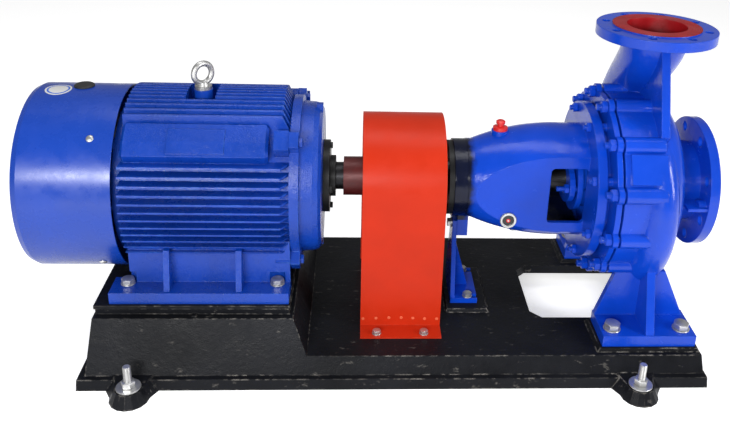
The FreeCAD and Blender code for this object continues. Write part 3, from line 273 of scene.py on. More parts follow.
def worn_and_glinting_edges(tree, coords, radius):
    """0 on flat places, up to 1 on outer edges, where paint is chipped and where painted edge highlights go.
    """
    bevel = add(tree, "Bevel", samples=BEVEL_SAMPLES, Radius=radius)
    geometry = add(tree, "NewGeometry")
    dot = add(tree, "VectorMath", operation="DOT_PRODUCT")
    join(tree, bevel, "Normal", dot, 0)
    join(tree, geometry, "Normal", dot, 1)
    turn = math_node(tree, "SUBTRACT", 1.0, dot.outputs["Value"])
    edge = spread(tree, turn, 0.01, WEAR_AND_GLINT_TURN, 0.0, 1.0)
    stretches = spread(tree, noise(tree, coords, WEAR_AND_GLINT_GRAIN / 7.0, 2.0), 0.44, 0.60, 0.15, 1.0)
    crumbs = spread(tree, noise(tree, coords, WEAR_AND_GLINT_GRAIN, 4.0), 0.46, 0.60, 0.0, 1.0)
    return product(tree, edge, stretches, crumbs)


def new_material(name):
    material = bpy.data.materials.new(name)
    material.use_nodes = True
    tree = material.node_tree
    shader = tree.nodes["Principled BSDF"]
    coords = add(tree, "TexCoord").outputs["Object"]
    return material, tree, shader, coords


def relief(tree, shader, coords, layers, edge_radius):
    """Layers of (noise scale, height in metres), stacked on rounded edges."""
    normal = add(tree, "Bevel", samples=BEVEL_SAMPLES, Radius=edge_radius).outputs["Normal"]
    for scale, height in layers:
        bump = add(tree, "Bump", Distance=height, Strength=1.0)
        tree.links.new(noise(tree, coords, scale, 2.0), bump.inputs["Height"])
        tree.links.new(normal, bump.inputs["Normal"])
        normal = bump.outputs["Normal"]
    tree.links.new(normal, shader.inputs["Normal"])


def enamel(name, colour, rough, layers, edge, patch=0.16, edge_wear_and_glint_colour=(0.30, 0.29, 0.28), edge_wear_and_glint_share=0.0, gloss=0.25,
           scuff=0.0):
    """Paint over metal: uneven colour, grain in the gloss, rounded edges, chips and scuffs; the lighter blue
    chips of the blue enamels are painted edge highlights.
    """
    material, tree, shader, coords = new_material(name)
    base = patchy(tree, clouds(tree, noise(tree, coords, 7.0, 4.0)), colour, patch)
    fine = noise(tree, coords, 160.0, 3.0)
    sheen = clouds(tree, noise(tree, coords, 28.0, 4.0), rough - 0.07, rough + 0.09)
    if edge_wear_and_glint_share > 0.0:
        # on the blue enamels this lighter colour on the edges is a painted highlight; on the others it is
        # worn paint
        mask = product(tree, worn_and_glinting_edges(tree, coords, edge * CHIP_AND_GLINT_REACH), edge_wear_and_glint_share)
        base = blend(tree, mask, base, rgba(edge_wear_and_glint_colour))
        sheen = math_node(tree, "ADD", sheen, product(tree, mask, CHIP_AND_GLINT_DULLNESS))
    if scuff > 0.0:
        marks = noise(tree, coords, 34.0, 6.0, 0.7, (1.0, 2.6, 1.6))
        mask = spread(tree, marks, 0.62, 0.70, 0.0, scuff)
        base = blend(tree, mask, base, rgba(edge_wear_and_glint_colour))
        sheen = math_node(tree, "ADD", sheen, product(tree, mask, SCUFF_DULLNESS))
    grain = product(tree, math_node(tree, "SUBTRACT", fine, 0.5), GRAIN_DULLNESS)
    tree.links.new(base, shader.inputs["Base Color"])
    tree.links.new(math_node(tree, "ADD", sheen, grain), shader.inputs["Roughness"])
    shader.inputs["Specular IOR Level"].default_value = gloss
    relief(tree, shader, coords, layers, edge)
    return material


STREAK_DEPTH = 0.00006


def bare_metal(name, colour, rough, stretch=(1.0, 1.0, 1.0), scale=220.0, stain=0.25, edge=0.0006,
               metallic=1.0):
    """Plated, turned or cast metal: streaks along the tool path, dull stains."""
    material, tree, shader, coords = new_material(name)
    streak = noise(tree, coords, scale, 4.0, 0.6, stretch)
    stains = spread(tree, noise(tree, coords, 40.0, 5.0), 0.35, 0.68, 0.0, 1.0)
    base = blend(tree, stains, rgba(colour), rgba(colour, 1.0 - stain))
    base = blend(tree, clouds(tree, streak, 0.0, 0.35), base, rgba(colour, 0.72))
    tree.links.new(base, shader.inputs["Base Color"])
    tree.links.new(clouds(tree, streak, rough - 0.06, rough + 0.12), shader.inputs["Roughness"])
    shader.inputs["Metallic"].default_value = metallic
    relief(tree, shader, coords, [(scale, STREAK_DEPTH)], edge)
    return material


MOULDED_EDGE = 0.0005


def plain_part(name, colour, rough, grain, depth, patch=0.2):
    """Rubber, moulded plastic, braid or wire: no metal, fine grain."""
    material, tree, shader, coords = new_material(name)
    base = patchy(tree, clouds(tree, noise(tree, coords, 18.0, 4.0)), colour, patch)
    sheen = clouds(tree, noise(tree, coords, grain, 3.0), rough - 0.06, rough + 0.08)
    tree.links.new(base, shader.inputs["Base Color"])
    tree.links.new(sheen, shader.inputs["Roughness"])
    relief(tree, shader, coords, [(grain, depth)], MOULDED_EDGE)
    return material


def from_shaft(tree, coords):
    """Place of the shaded point, counted from the shaft under the discharge flange."""
    offset = add(tree, "VectorMath", operation="SUBTRACT")
    tree.links.new(coords, offset.inputs[0])
    offset.inputs[1].default_value = ORIGIN
    parts = add(tree, "SeparateXYZ")
    join(tree, offset, 0, parts, 0)
    return parts


def distance(tree, first, second):
    """Length of a pair of offsets."""
    total = math_node(tree, "ADD", product(tree, first, first), product(tree, second, second))
    return math_node(tree, "SQRT", total, 0.0)


# (x range, half width, radius) of the black on the bracket: black at its motor end, and painted shade inside
# its lantern
BLACK_ZONES = [((-1.0, -0.374), 0.2, 0.098), ((-0.262, -0.112), 0.0785, 0.1145)]
END_BLACK_AND_PAINTED_SHADE = (0.002, 0.004, 0.018)
BLACK_LIMIT_STRAY = 0.02
FADE_BEFORE = 0.009
FADE_AFTER = 0.007


def darken(material):
    """Black over the blue at the bracket's motor end, and painted shade inside its lantern, with a wandering
    limit.
    """
    tree = material.node_tree
    shader = tree.nodes["Principled BSDF"]
    coords = add(tree, "TexCoord").outputs["Object"]
    parts = from_shaft(tree, coords)
    radius = distance(tree, parts.outputs["Y"], parts.outputs["Z"])
    stray = product(tree, math_node(tree, "SUBTRACT", noise(tree, coords, 45.0), 0.5), BLACK_LIMIT_STRAY)
    along = math_node(tree, "ADD", parts.outputs["X"], stray)
    side = math_node(tree, "ABSOLUTE", parts.outputs["Y"], 0.0)
    masks = []
    for (low, high), width, outer in BLACK_ZONES:
        masks.append(product(tree, spread(tree, along, high - FADE_BEFORE, high + FADE_AFTER, 1.0, 0.0),
                             math_node(tree, "GREATER_THAN", parts.outputs["X"], low),
                             math_node(tree, "LESS_THAN", radius, outer),
                             math_node(tree, "LESS_THAN", side, width)))
    old = shader.inputs["Base Color"].links[0].from_socket
    # the lantern's mask paints shade inside it; the end's mask makes its motor end black
    black = blend(tree, largest(tree, *masks), old, rgba(END_BLACK_AND_PAINTED_SHADE))
    tree.links.new(black, shader.inputs["Base Color"])


# axis, place of the raised face, its radius, radius of the bore and depth of the primer in it
MOUTHS = [("Z", 0.355, 0.0925, 0.0625, 0.0358), ("X", 0.140, 0.1065, 0.0750, 0.120)]
# the discharge passage below its straight mouth: (y, z) of both ends of a stretch, and how far its wall lies
PASSAGE = [((0.0, 0.334), (0.028, 0.276), 0.0760), ((0.028, 0.276), (0.098, 0.208), 0.0580),
           ((0.098, 0.208), (0.164, 0.118), 0.0530)]
PRIMER_MARGIN = 0.0008
PRIMER_DULLNESS = 0.22
GROOVE_DEPTH = 0.0005
# heights between which the passage turns dark with painted shade, and the share of the colour that stays
# below
PAINTED_SHADE_HEIGHTS = (0.295, 0.352)
PAINTED_SHADE_SHARE = 0.10
# a wall faces the middle of the passage when its way outwards, along its normal, is under this
INWARD = -0.02


def near_line(tree, parts, facing, start, end, radius):
    """1 on a wall that faces a line in the middle plane and lies near it; the ends are (y, z)."""
    run = (end[0] - start[0], end[1] - start[1])
    size = run[0] ** 2 + run[1] ** 2
    side = math_node(tree, "SUBTRACT", parts.outputs["Y"], start[0])
    rise = math_node(tree, "SUBTRACT", parts.outputs["Z"], start[1])
    share = math_node(tree, "ADD", product(tree, side, run[0] / size), product(tree, rise, run[1] / size))
    share = math_node(tree, "MINIMUM", largest(tree, share, 0.0), 1.0)
    side = math_node(tree, "SUBTRACT", side, product(tree, share, run[0]))
    rise = math_node(tree, "SUBTRACT", rise, product(tree, share, run[1]))
    offset = add(tree, "CombineXYZ")
    for value, axis in ((parts.outputs["X"], "X"), (side, "Y"), (rise, "Z")):
        tree.links.new(value, offset.inputs[axis])
    outward = add(tree, "VectorMath", operation="DOT_PRODUCT")
    tree.links.new(offset.outputs[0], outward.inputs[0])
    tree.links.new(facing, outward.inputs[1])
    gap = distance(tree, distance(tree, side, rise), parts.outputs["X"])
    return product(tree, math_node(tree, "LESS_THAN", gap, radius),
                   math_node(tree, "LESS_THAN", outward.outputs["Value"], INWARD))


def flange_mouths(material, primer, pitch):
    """Red primer and turned grooves on the raised faces and inside the bores of the casing, and painted shade
    deep in the discharge passage.
    """
    tree = material.node_tree
    shader = tree.nodes["Principled BSDF"]
    source = add(tree, "TexCoord")
    coords = source.outputs["Object"]
    parts = from_shaft(tree, coords)
    faces = []
    bores = []
    waves = []
    for axis, face, face_radius, bore_radius, depth in MOUTHS:
        height = parts.outputs[axis]
        radius = distance(tree, parts.outputs["Y"], parts.outputs["X" if axis == "Z" else "Z"])
        on_face = product(tree, math_node(tree, "GREATER_THAN", height, face - PRIMER_MARGIN),
                          math_node(tree, "LESS_THAN", radius, face_radius))
        in_bore = product(tree, math_node(tree, "GREATER_THAN", height, face - depth),
                          math_node(tree, "LESS_THAN", radius, bore_radius + PRIMER_MARGIN))
        ripple = math_node(tree, "SINE", product(tree, radius, 2.0 * math.pi / pitch), 0.0)
        faces.append(on_face)
        bores.append(in_bore)
        waves.append(product(tree, ripple, on_face))
    passage = largest(tree, *[near_line(tree, parts, source.outputs["Normal"], *line) for line in PASSAGE])
    mask = largest(tree, *faces, *bores, passage)
    red = patchy(tree, clouds(tree, noise(tree, coords, 30.0, 5.0)), primer, 0.2)
    # painted shade: the primer darkens lower down the discharge bore and passage
    painted_shade = product(tree, largest(tree, passage, bores[0]),
                    spread(tree, parts.outputs["Z"], *PAINTED_SHADE_HEIGHTS, 1.0, 0.0))
    red = blend(tree, painted_shade, red, rgba(primer, PAINTED_SHADE_SHARE))
    old = shader.inputs["Base Color"].links[0].from_socket
    tree.links.new(blend(tree, mask, old, red), shader.inputs["Base Color"])
    old = shader.inputs["Roughness"].links[0].from_socket
    dull = math_node(tree, "ADD", old, product(tree, mask, PRIMER_DULLNESS))
    tree.links.new(dull, shader.inputs["Roughness"])
    bump = add(tree, "Bump", Distance=GROOVE_DEPTH, Strength=1.0)
    tree.links.new(math_node(tree, "ADD", *waves), bump.inputs["Height"])
    tree.links.new(shader.inputs["Normal"].links[0].from_socket, bump.inputs["Normal"])
    tree.links.new(bump.outputs["Normal"], shader.inputs["Normal"])


# relief layers as (noise scale, height in metres)
CAST = [(420.0, 0.00035), (95.0, 0.0006)]
ROUGH_CAST = [(420.0, 0.0007), (90.0, 0.0006)]
THICK_PAINT = [(330.0, 0.00018), (70.0, 0.0006)]
SHEET = [(260.0, 0.00005), (16.0, 0.0003)]
SMOOTH = [(300.0, 0.00008), (60.0, 0.00025)]
# the lighter blue on the edges of the pump paint is a painted edge highlight
PUMP_PAINT = dict(colour="pump_blue", rough=0.20, layers=THICK_PAINT, edge=0.003, patch=0.12,
                  edge_wear_and_glint_colour=(0.10, 0.24, 0.80), edge_wear_and_glint_share=0.12, gloss=0.24)

# how each finish is made; a colour is a value, or the name of one of the user's colours
FINISHES = {
    "base": (enamel, dict(colour="base_black", rough=0.40, layers=CAST, edge=0.003, patch=0.35,
                          edge_wear_and_glint_colour=(0.30, 0.28, 0.25), edge_wear_and_glint_share=0.80, gloss=0.09, scuff=0.24)),
    # the lighter blue on the edges of the motor finishes is a painted edge highlight
    "motor": (enamel, dict(colour="motor_blue", rough=0.33, layers=SMOOTH, edge=0.0016, patch=0.12,
                           edge_wear_and_glint_colour=(0.07, 0.22, 0.72), edge_wear_and_glint_share=0.25, gloss=0.34)),
    "motor_casting": (enamel, dict(colour="motor_blue", rough=0.28, layers=ROUGH_CAST, edge=0.0018,
                                   patch=0.20, edge_wear_and_glint_colour=(0.07, 0.24, 0.76), edge_wear_and_glint_share=0.50, gloss=0.36)),
    "cowl": (enamel, dict(colour="motor_blue", rough=0.27, layers=SHEET, edge=0.002, patch=0.07, gloss=0.48)),
    "pump": (enamel, PUMP_PAINT),
    "bracket": (enamel, PUMP_PAINT),
    "casing": (enamel, {**PUMP_PAINT, "gloss": 0.34}),
    "guard": (enamel, dict(colour="guard_red", rough=0.36, layers=SHEET, edge=0.0012, patch=0.08,
                           edge_wear_and_glint_colour=(0.70, 0.30, 0.20), edge_wear_and_glint_share=0.20, gloss=0.14)),
    "weld_spots": (enamel, dict(colour=(0.62, 0.11, 0.05), rough=0.30, layers=SHEET, edge=0.0004, patch=0.2)),
    "black_paint": (enamel, dict(colour=(0.012, 0.012, 0.013), rough=0.42, layers=SMOOTH, edge=0.001,
                                 patch=0.3, edge_wear_and_glint_colour=(0.12, 0.12, 0.12), edge_wear_and_glint_share=0.4)),
    "zinc": (bare_metal, dict(colour="zinc", rough=0.35, metallic=0.88)),
    "turned_steel": (bare_metal, dict(colour=(0.46, 0.46, 0.47), rough=0.28, stretch=(0.05, 1.0, 1.0),
                                      scale=500.0)),
    # dark steel; on the shaft sleeve, seen through the lantern window, its darkness is painted shade
    "oily_steel": (bare_metal, dict(colour=(0.045, 0.045, 0.048), rough=0.42, stretch=(0.05, 1.0, 1.0),
                                    scale=500.0, stain=0.5)),
    "core_steel": (bare_metal, dict(colour=(0.24, 0.24, 0.25), rough=0.45, stretch=(9.0, 0.2, 0.2),
                                    scale=160.0)),
    "coupling_iron": (bare_metal, dict(colour=(0.10, 0.008, 0.008), rough=0.42, stretch=(0.2, 1.0, 1.0),
                                       scale=300.0, stain=0.4, edge=0.001, metallic=0.2)),
    "cast_iron": (bare_metal, dict(colour=(0.17, 0.17, 0.17), rough=0.55, scale=260.0, stain=0.4, edge=0.001,
                                   metallic=0.7)),
    "bronze": (bare_metal, dict(colour=(0.50, 0.30, 0.11), rough=0.34, stretch=(0.1, 1.0, 1.0), scale=400.0)),
    "cap_red": (plain_part, dict(colour=(0.58, 0.018, 0.016), rough=0.30, grain=300.0, depth=0.00005,
                                 patch=0.10)),
    "copper_wire": (plain_part, dict(colour=(0.36, 0.12, 0.045), rough=0.35, grain=700.0, depth=0.0004)),
    "rubber": (plain_part, dict(colour=(0.012, 0.012, 0.012), rough=0.62, grain=420.0, depth=0.00008)),
    "fan_plastic": (plain_part, dict(colour=(0.02, 0.02, 0.022), rough=0.45, grain=300.0, depth=0.00006)),
    "braid": (plain_part, dict(colour=(0.24, 0.21, 0.14), rough=0.75, grain=900.0, depth=0.0004)),
    "label_white": (plain_part, dict(colour=(0.60, 0.60, 0.60), rough=0.35, grain=200.0, depth=0.00003,
                                     patch=0.04)),
    "label_blue": (plain_part, dict(colour=(0.03, 0.12, 0.55), rough=0.35, grain=200.0, depth=0.00003,
                                    patch=0.05)),
    "gauge_black": (plain_part, dict(colour=(0.008, 0.008, 0.009), rough=0.12, grain=200.0, depth=0.00002,
                                     patch=0.1)),
    "gauge_red": (plain_part, dict(colour=(0.60, 0.02, 0.02), rough=0.25, grain=200.0, depth=0.00002,
                                   patch=0.1)),
}
MADE = {}


def finish(name):
    """One material per finish, made the first time that a piece asks for it."""
    if name in MADE:
        return MADE[name]
    scene = bpy.context.scene
    maker, values = FINISHES[name]
    colour = values["colour"]
    if isinstance(colour, str):
        colour = getattr(scene.pump_colours, colour)
    made = maker(name, **{**values, "colour": colour})
    if name == "bracket":
        darken(made)
    if name == "casing":
        flange_mouths(made, scene.pump_colours.primer_red, scene.pump_sizes.groove_pitch)
    MADE[name] = made
    return made


def dress(finish_name, *nodes):
    """Gives a finish to CAD nodes that stay as they are."""
    for name in nodes:
        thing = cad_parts[name]
        for entry in thing.material_slots:
            entry.material = finish(finish_name)


# mesh helpers
MERGE_DISTANCE = 1e-6
SHARP_ANGLE = math.radians(32.0)
SMALLEST_RADIUS = 1e-5
HEXAGON_SIDES = 48
ROD_SIDES = 24


def settle(name, bm, finishes, body, replaced=()):
    """Turns the built mesh into a piece that rides on a body."""
    bmesh.ops.remove_doubles(bm, verts=bm.verts, dist=MERGE_DISTANCE)
    bmesh.ops.recalc_face_normals(bm, faces=bm.faces)
    mesh = bpy.data.meshes.new(name)
    for face in bm.faces:
        face.smooth = True
    bm.to_mesh(mesh)
    bm.free()
    mesh.set_sharp_from_angle(angle=SHARP_ANGLE)
    for entry in finishes:
        mesh.materials.append(finish(entry))
    piece = bpy.data.objects.new(name, mesh)
    bpy.context.scene.collection.objects.link(piece)
    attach(piece, body)
    if replaced:
        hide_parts(*replaced)


def axis_frame(base, axis):
    """Matrix that stands a shape built along +Z on a point, along an axis."""
    turn = UP.rotation_difference(Vector(axis)).to_matrix().to_4x4()
    return Matrix.Translation(base) @ turn


def skin(bm, rings, matrix, material=0):
    """Joins rings of points into a closed skin."""
    made = [[bm.verts.new(matrix @ Vector(p)) for p in ring] for ring in rings]
    count = len(made[0])
    for low, high in zip(made, made[1:]):
        for i in range(count):
            j = (i + 1) % count
            bm.faces.new((low[i], low[j], high[j], high[i])).material_index = material
    for ring in (made[0], made[-1]):
        bm.faces.new(ring).material_index = material


def circle(radius, z, count):
    return [(radius * math.cos(2 * math.pi * i / count), radius * math.sin(2 * math.pi * i / count), z)
            for i in range(count)]


def lathe(bm, base, axis, profile, count, material=0):
    """Turned solid: profile is (radius, height) pairs along the axis."""
    rings = [circle(max(r, SMALLEST_RADIUS), z, count) for r, z in profile]
    skin(bm, rings, axis_frame(base, axis), material)


def rod(bm, base, axis, radius, length):
    """Plain round shank from its base along the axis."""
    lathe(bm, base, axis, [(radius, 0.0), (radius, length)], ROD_SIDES)


CORNER_START = 0.94
CORNER_SLOPE = 0.6


def hexagon(bm, base, axis, flats, height, bottom=False):
    """Hexagon head or nut whose corners are turned off in arcs."""
    flat = flats / 2.0
    face_radius = flat * CORNER_START

    def ring(is_top):
        points = []
        for i in range(HEXAGON_SIDES):
            a = 2.0 * math.pi * i / HEXAGON_SIDES
            sector = (a % (math.pi / 3.0)) - math.pi / 6.0
            r = flat / math.cos(sector)
            drop = max(0.0, r - face_radius) * CORNER_SLOPE
            z = height - drop if is_top else (drop if bottom else 0.0)
            points.append((r * math.cos(a), r * math.sin(a), z))
        return points

    rings = [circle(face_radius, 0.0, HEXAGON_SIDES)] if bottom else []
    rings += [ring(False), ring(True), circle(face_radius, height, HEXAGON_SIDES)]
    skin(bm, rings, axis_frame(base, axis))


THREAD_SIDES = 32
THREAD_FLAT = 0.2
THREAD_VALLEY = 0.6
THREAD_DEPTH = 0.5
TIP_STEP = 0.0004


def thread(bm, base, axis, d, length):
    """Threaded end of a stud, from the base to its chamfered tip."""
    share, chamfer = THREADS[d]
    pitch = bpy.context.scene.pump_sizes.thread_pitch * share
    crest = d / 2.0
    profile = [(crest, 0.0)]
    z = 0.0
    while z + pitch < length - chamfer:
        valley = (crest - pitch * THREAD_DEPTH, z + pitch * THREAD_VALLEY)
        profile += [(crest, z + pitch * THREAD_FLAT), valley, (crest, z + pitch)]
        z += pitch
    profile += [(crest, length - chamfer), (crest - chamfer, length), (crest - chamfer - TIP_STEP, length)]
    lathe(bm, base, axis, profile, THREAD_SIDES)


WASHER_SIDES = 48
WASHER_BEVEL = 0.25


def washer(bm, base, axis, radius, thickness):
    bevel = thickness * WASHER_BEVEL
    profile = [(radius - bevel, 0), (radius, bevel), (radius, thickness - bevel), (radius - bevel, thickness)]
    lathe(bm, base, axis, profile, WASHER_SIDES)


# shares of the distance over the flats: radius of the washer, and of the thin face under a bolt's head
BOLT_WASHER = 0.62
UNDERSIDE = 0.46
UNDERSIDE_HEIGHT = 0.0006
UNDERSIDE_SIDES = 40
HEAD_LIFT = 0.0005


def bolt(bm, seat, axis, d, shank, washer_t=0.0):
    """Hexagon bolt, seated on the work with or without a washer."""
    flats, head = HEADS[d]
    if washer_t > 0:
        washer(bm, seat, axis, flats * BOLT_WASHER, washer_t)
    start = seat + axis * washer_t
    face = flats * UNDERSIDE
    lathe(bm, start, axis, [(face, 0.0), (face, UNDERSIDE_HEIGHT)], UNDERSIDE_SIDES)
    hexagon(bm, start + axis * HEAD_LIFT, axis, flats, head - HEAD_LIFT)
    rod(bm, seat - axis * shank, axis, d / 2.0, shank)


def nut(bm, seat, axis, d):
    hexagon(bm, seat, axis, *NUTS[d], bottom=True)


def nutted_stud(bm, seat, axis, d, tip, shank):
    """Stud with its nut: tip is the start and length of its thread, shank its depth and length."""
    nut(bm, seat, axis, d)
    thread(bm, seat + axis * tip[0], axis, d, tip[1])
    rod(bm, seat - axis * shank[0], axis, d / 2.0, shank[1])


class PumpOperator:
    """What the operators of the set share"""
    bl_options = {"REGISTER", "UNDO"}


class PUMP_OT_baseplate(PumpOperator, bpy.types.Operator):
    """Black enamel over the cast base, rubbed grey on its edges"""
    bl_idname = "pump.baseplate"
    bl_label = "Baseplate"

    def execute(self, context):
        dress("base", "baseplate")
        return {"FINISHED"}


# x and y of the ears, top of their seats, and bottom of the studs
EAR_X = (-1.066, -0.034)
EAR_Y = (-0.299, 0.299)
EAR_TOP = -0.326
STUD_FOOT = -0.350
# the stud has its core size from its head up to the middle of the nut
STUD_CORE = 0.007


class PUMP_OT_foundation(PumpOperator, bpy.types.Operator):
    """Four foundation studs with threads, nuts and large washers"""
    bl_idname = "pump.foundation"
    bl_label = "Foundation studs"

    def execute(self, context):
        bm = bmesh.new()
        for x in EAR_X:
            for y in EAR_Y:
                seat = place(x, y, EAR_TOP)
                washer(bm, seat, UP, 0.0245, 0.003)
                nut(bm, seat + UP * 0.003, UP, M16)
                thread(bm, seat + UP * 0.010, UP, M16, 0.040)
                rod(bm, place(x, y, STUD_FOOT + 0.001), UP, STUD_CORE, 0.039)
                hexagon(bm, place(x, y, STUD_FOOT), UP, *HEADS[M16])
        settle("foundation_fasteners", bm, ["zinc"], SET,
               ("foundation_bolts", "foundation_nuts", "foundation_washers"))
        return {"FINISHED"}


class PUMP_OT_motor(PumpOperator, bpy.types.Operator):
    """Blue enamel over the finned motor frame, its end shields and terminal box"""
    bl_idname = "pump.motor"
    bl_label = "Motor"

    def execute(self, context):
        dress("motor_casting", "motor_frame", "drive_end_shield", "fan_end_shield")
        dress("motor_casting", "terminal_box", "terminal_box_lid")
        dress("black_paint", "bearing_cap", "cable_gland")
        dress("zinc", "lifting_eye")
        return {"FINISHED"}


class PUMP_OT_motor_bolts(PumpOperator, bpy.types.Operator):
    """Foot bolts, end shield bolts, bearing cap bolts and lid screws of the motor"""
    bl_idname = "pump.motor_bolts"
    bl_label = "Motor bolts"

    def execute(self, context):
        bm = bmesh.new()
        for seat in corners((-1.089, -0.784), (-0.159, 0.159), -0.176):
            bolt(bm, seat, UP, M16, 0.055, 0.003)
        settle("motor_foot_bolt_set", bm, ["zinc"], SET, ("motor_foot_bolts",))
        bm = bmesh.new()
        for a in DIAGONALS:
            bolt(bm, around_shaft(0.187, a, -0.738), TO_SUCTION, M12, 0.038)
        for a in QUARTERS:
            bolt(bm, around_shaft(0.157, a, -1.104), TO_MOTOR, M8, 0.031)
        settle("shield_bolt_set", bm, ["motor"], SET, ("end_shield_bolts",))
        bm = bmesh.new()
        for a in QUARTERS:
            bolt(bm, around_shaft(0.072, a, -0.680), TO_SUCTION, M8, 0.033)
        settle("bearing_cap_bolt_set", bm, ["black_paint"], SET, ("bearing_cap_bolts",))
        bm = bmesh.new()
        for x in (-0.872, -0.755):
            for z in (0.015, 0.085):
                bolt(bm, place(x, 0.282, z), TO_FAR_SIDE, M6, 0.037)
        settle("lid_screw_set", bm, ["zinc"], SET, ("terminal_lid_screws",))
        return {"FINISHED"}


COWL_RADIUS = 0.19415
COWL_SCREW_X = -1.142
# domed screw head: radius, height of its rim and rise of the dome above it
SCREW_RADIUS = 0.0075
SCREW_RIM = 0.0006
SCREW_RISE = 0.0034
SCREW_DOME = [(SCREW_RADIUS * math.cos(math.radians(a)), SCREW_RIM + SCREW_RISE * math.sin(math.radians(a)))
              for a in range(0, 100, 10)]
# middle of the label along the shaft and sideways, its thickness, and the radii of its rings as shares
LABEL_X = -1.236
LABEL_Y = -0.011
LABEL_THICKNESS = 0.0003
LABEL_RINGS = (0.02, 0.25, 0.5, 0.72, 0.86, 1.0)
BLUE_RING = 0.72
LABEL_SIDES = 64


class PUMP_OT_cowl(PumpOperator, bpy.types.Operator):
    """Sheet cowl over the fan, its screws, rubber plug and blank round label"""
    bl_idname = "pump.cowl"
    bl_label = "Fan cowl"

    def execute(self, context):
        dress("cowl", "fan_cowl")
        dress("rubber", "cowl_plug")
        bm = bmesh.new()
        for a in DIAGONALS:
            seat = around_shaft(COWL_RADIUS, a, COWL_SCREW_X)
            out = (seat - place(COWL_SCREW_X, 0, 0)).normalized()
            lathe(bm, seat, out, [(0.0070, 0.0), (SCREW_RADIUS, SCREW_RIM)] + SCREW_DOME, 32)
            rod(bm, seat - out * 0.018, out, 0.0040, 0.0185)
        settle("cowl_screw_set", bm, ["zinc"], SET, ("fan_cowl_screws",))
        self.label(context.scene.pump_sizes.label_radius)
        return {"FINISHED"}

    def label(self, radius):
        """White label with a blue ring, bent round the cowl."""
        bm = bmesh.new()
        angles = [2 * math.pi * i / LABEL_SIDES for i in range(LABEL_SIDES + 1)]

        def point(share, a, lift=LABEL_THICKNESS):
            r = radius * share
            out = COWL_RADIUS + lift
            turn = (LABEL_Y + r * math.sin(a)) / COWL_RADIUS
            return place(LABEL_X + r * math.cos(a), out * math.sin(turn), out * math.cos(turn))

        def face(points, material=0):
            bm.faces.new([bm.verts.new(p) for p in points]).material_index = material

        for inner, outer in zip(LABEL_RINGS, LABEL_RINGS[1:]):
            for a, b in zip(angles, angles[1:]):
                ring = [point(inner, a), point(outer, a), point(outer, b), point(inner, b)]
                face(ring, int(inner == BLUE_RING))
        for a, b in zip(angles, angles[1:]):
            face([point(1.0, a), point(1.0, b), point(1.0, b, 0.0), point(1.0, a, 0.0)])
        face([point(LABEL_RINGS[0], a) for a in angles[:-1]])
        settle("blank_label", bm, ["label_white", "label_blue"], SET)


class PUMP_OT_motor_inside(PumpOperator, bpy.types.Operator):
    """Shaft, rotor, stator, winding, bearings and fan inside the motor"""
    bl_idname = "pump.motor_inside"
    bl_label = "Motor inside"

    def execute(self, context):
        dress("oily_steel", "motor_shaft", "motor_coupling_key")
        dress("turned_steel", "motor_bearings")
        dress("core_steel", "rotor_core", "stator_core")
        dress("copper_wire", "stator_windings")
        dress("fan_plastic", "cooling_fan")
        return {"FINISHED"}


class PUMP_OT_coupling(PumpOperator, bpy.types.Operator):
    """Pin coupling under the guard"""
    bl_idname = "pump.coupling"
    bl_label = "Coupling"

    def execute(self, context):
        dress("coupling_iron", "motor_coupling_half", "pump_coupling_half")
        dress("turned_steel", "coupling_pins", "pump_coupling_key")
        dress("rubber", "coupling_bushes")
        dress("zinc", "coupling_nuts")
        return {"FINISHED"}


# a row of spot welds: its start and length along the shaft, its side and height, and how far the spots stray
WELD_START = -0.603
WELD_RUN = 0.160
WELD_SIDE = 0.1419
WELD_HEIGHT = -0.273
WELD_STRAY = 0.0016
WELD_TURN = 7.3
# a spot with a sunken middle: share of its radius, and height
WELD_FORM = [(1.0, 0.0), (0.9, 0.0006), (0.6, 0.0009), (0.35, 0.0006), (0.1, 0.0005)]


class PUMP_OT_guard(PumpOperator, bpy.types.Operator):
    """Bent sheet guard with its spot welds and bolts"""
    bl_idname = "pump.guard"
    bl_label = "Coupling guard"

    def execute(self, context):
        size = context.scene.pump_sizes
        dress("guard", "coupling_guard")
        bm = bmesh.new()
        form = [(size.weld_radius * share, height) for share, height in WELD_FORM]
        for side in (-1, 1):
            for i in range(size.weld_count):
                x = WELD_START + WELD_RUN * i / (size.weld_count - 1)
                stray = WELD_STRAY * math.sin(WELD_TURN * i + side)
                seat = place(x + stray, side * WELD_SIDE, WELD_HEIGHT + stray)
                lathe(bm, seat, (0, side, 0), form, 24)
        settle("guard_spot_welds", bm, ["weld_spots"], SET)
        bm = bmesh.new()
        for seat in corners((-0.575, -0.474), (-0.172, 0.172), -0.2905):
            bolt(bm, seat, UP, M10, 0.022, 0.002)
        settle("guard_bolt_set", bm, ["zinc"], SET, ("guard_bolts",))
        return {"FINISHED"}


class PUMP_OT_casing(PumpOperator, bpy.types.Operator):
    """Gloss blue volute casing with red primer in its mouths, cover and gasket"""
    bl_idname = "pump.casing"
    bl_label = "Casing"

    def execute(self, context):
        dress("casing", "volute_casing")
        dress("pump", "casing_cover")
        dress("rubber", "casing_gasket")
        return {"FINISHED"}


# the two studs of the packing gland, either side of the shaft
GLAND_STUDS = (-0.056, 0.056)


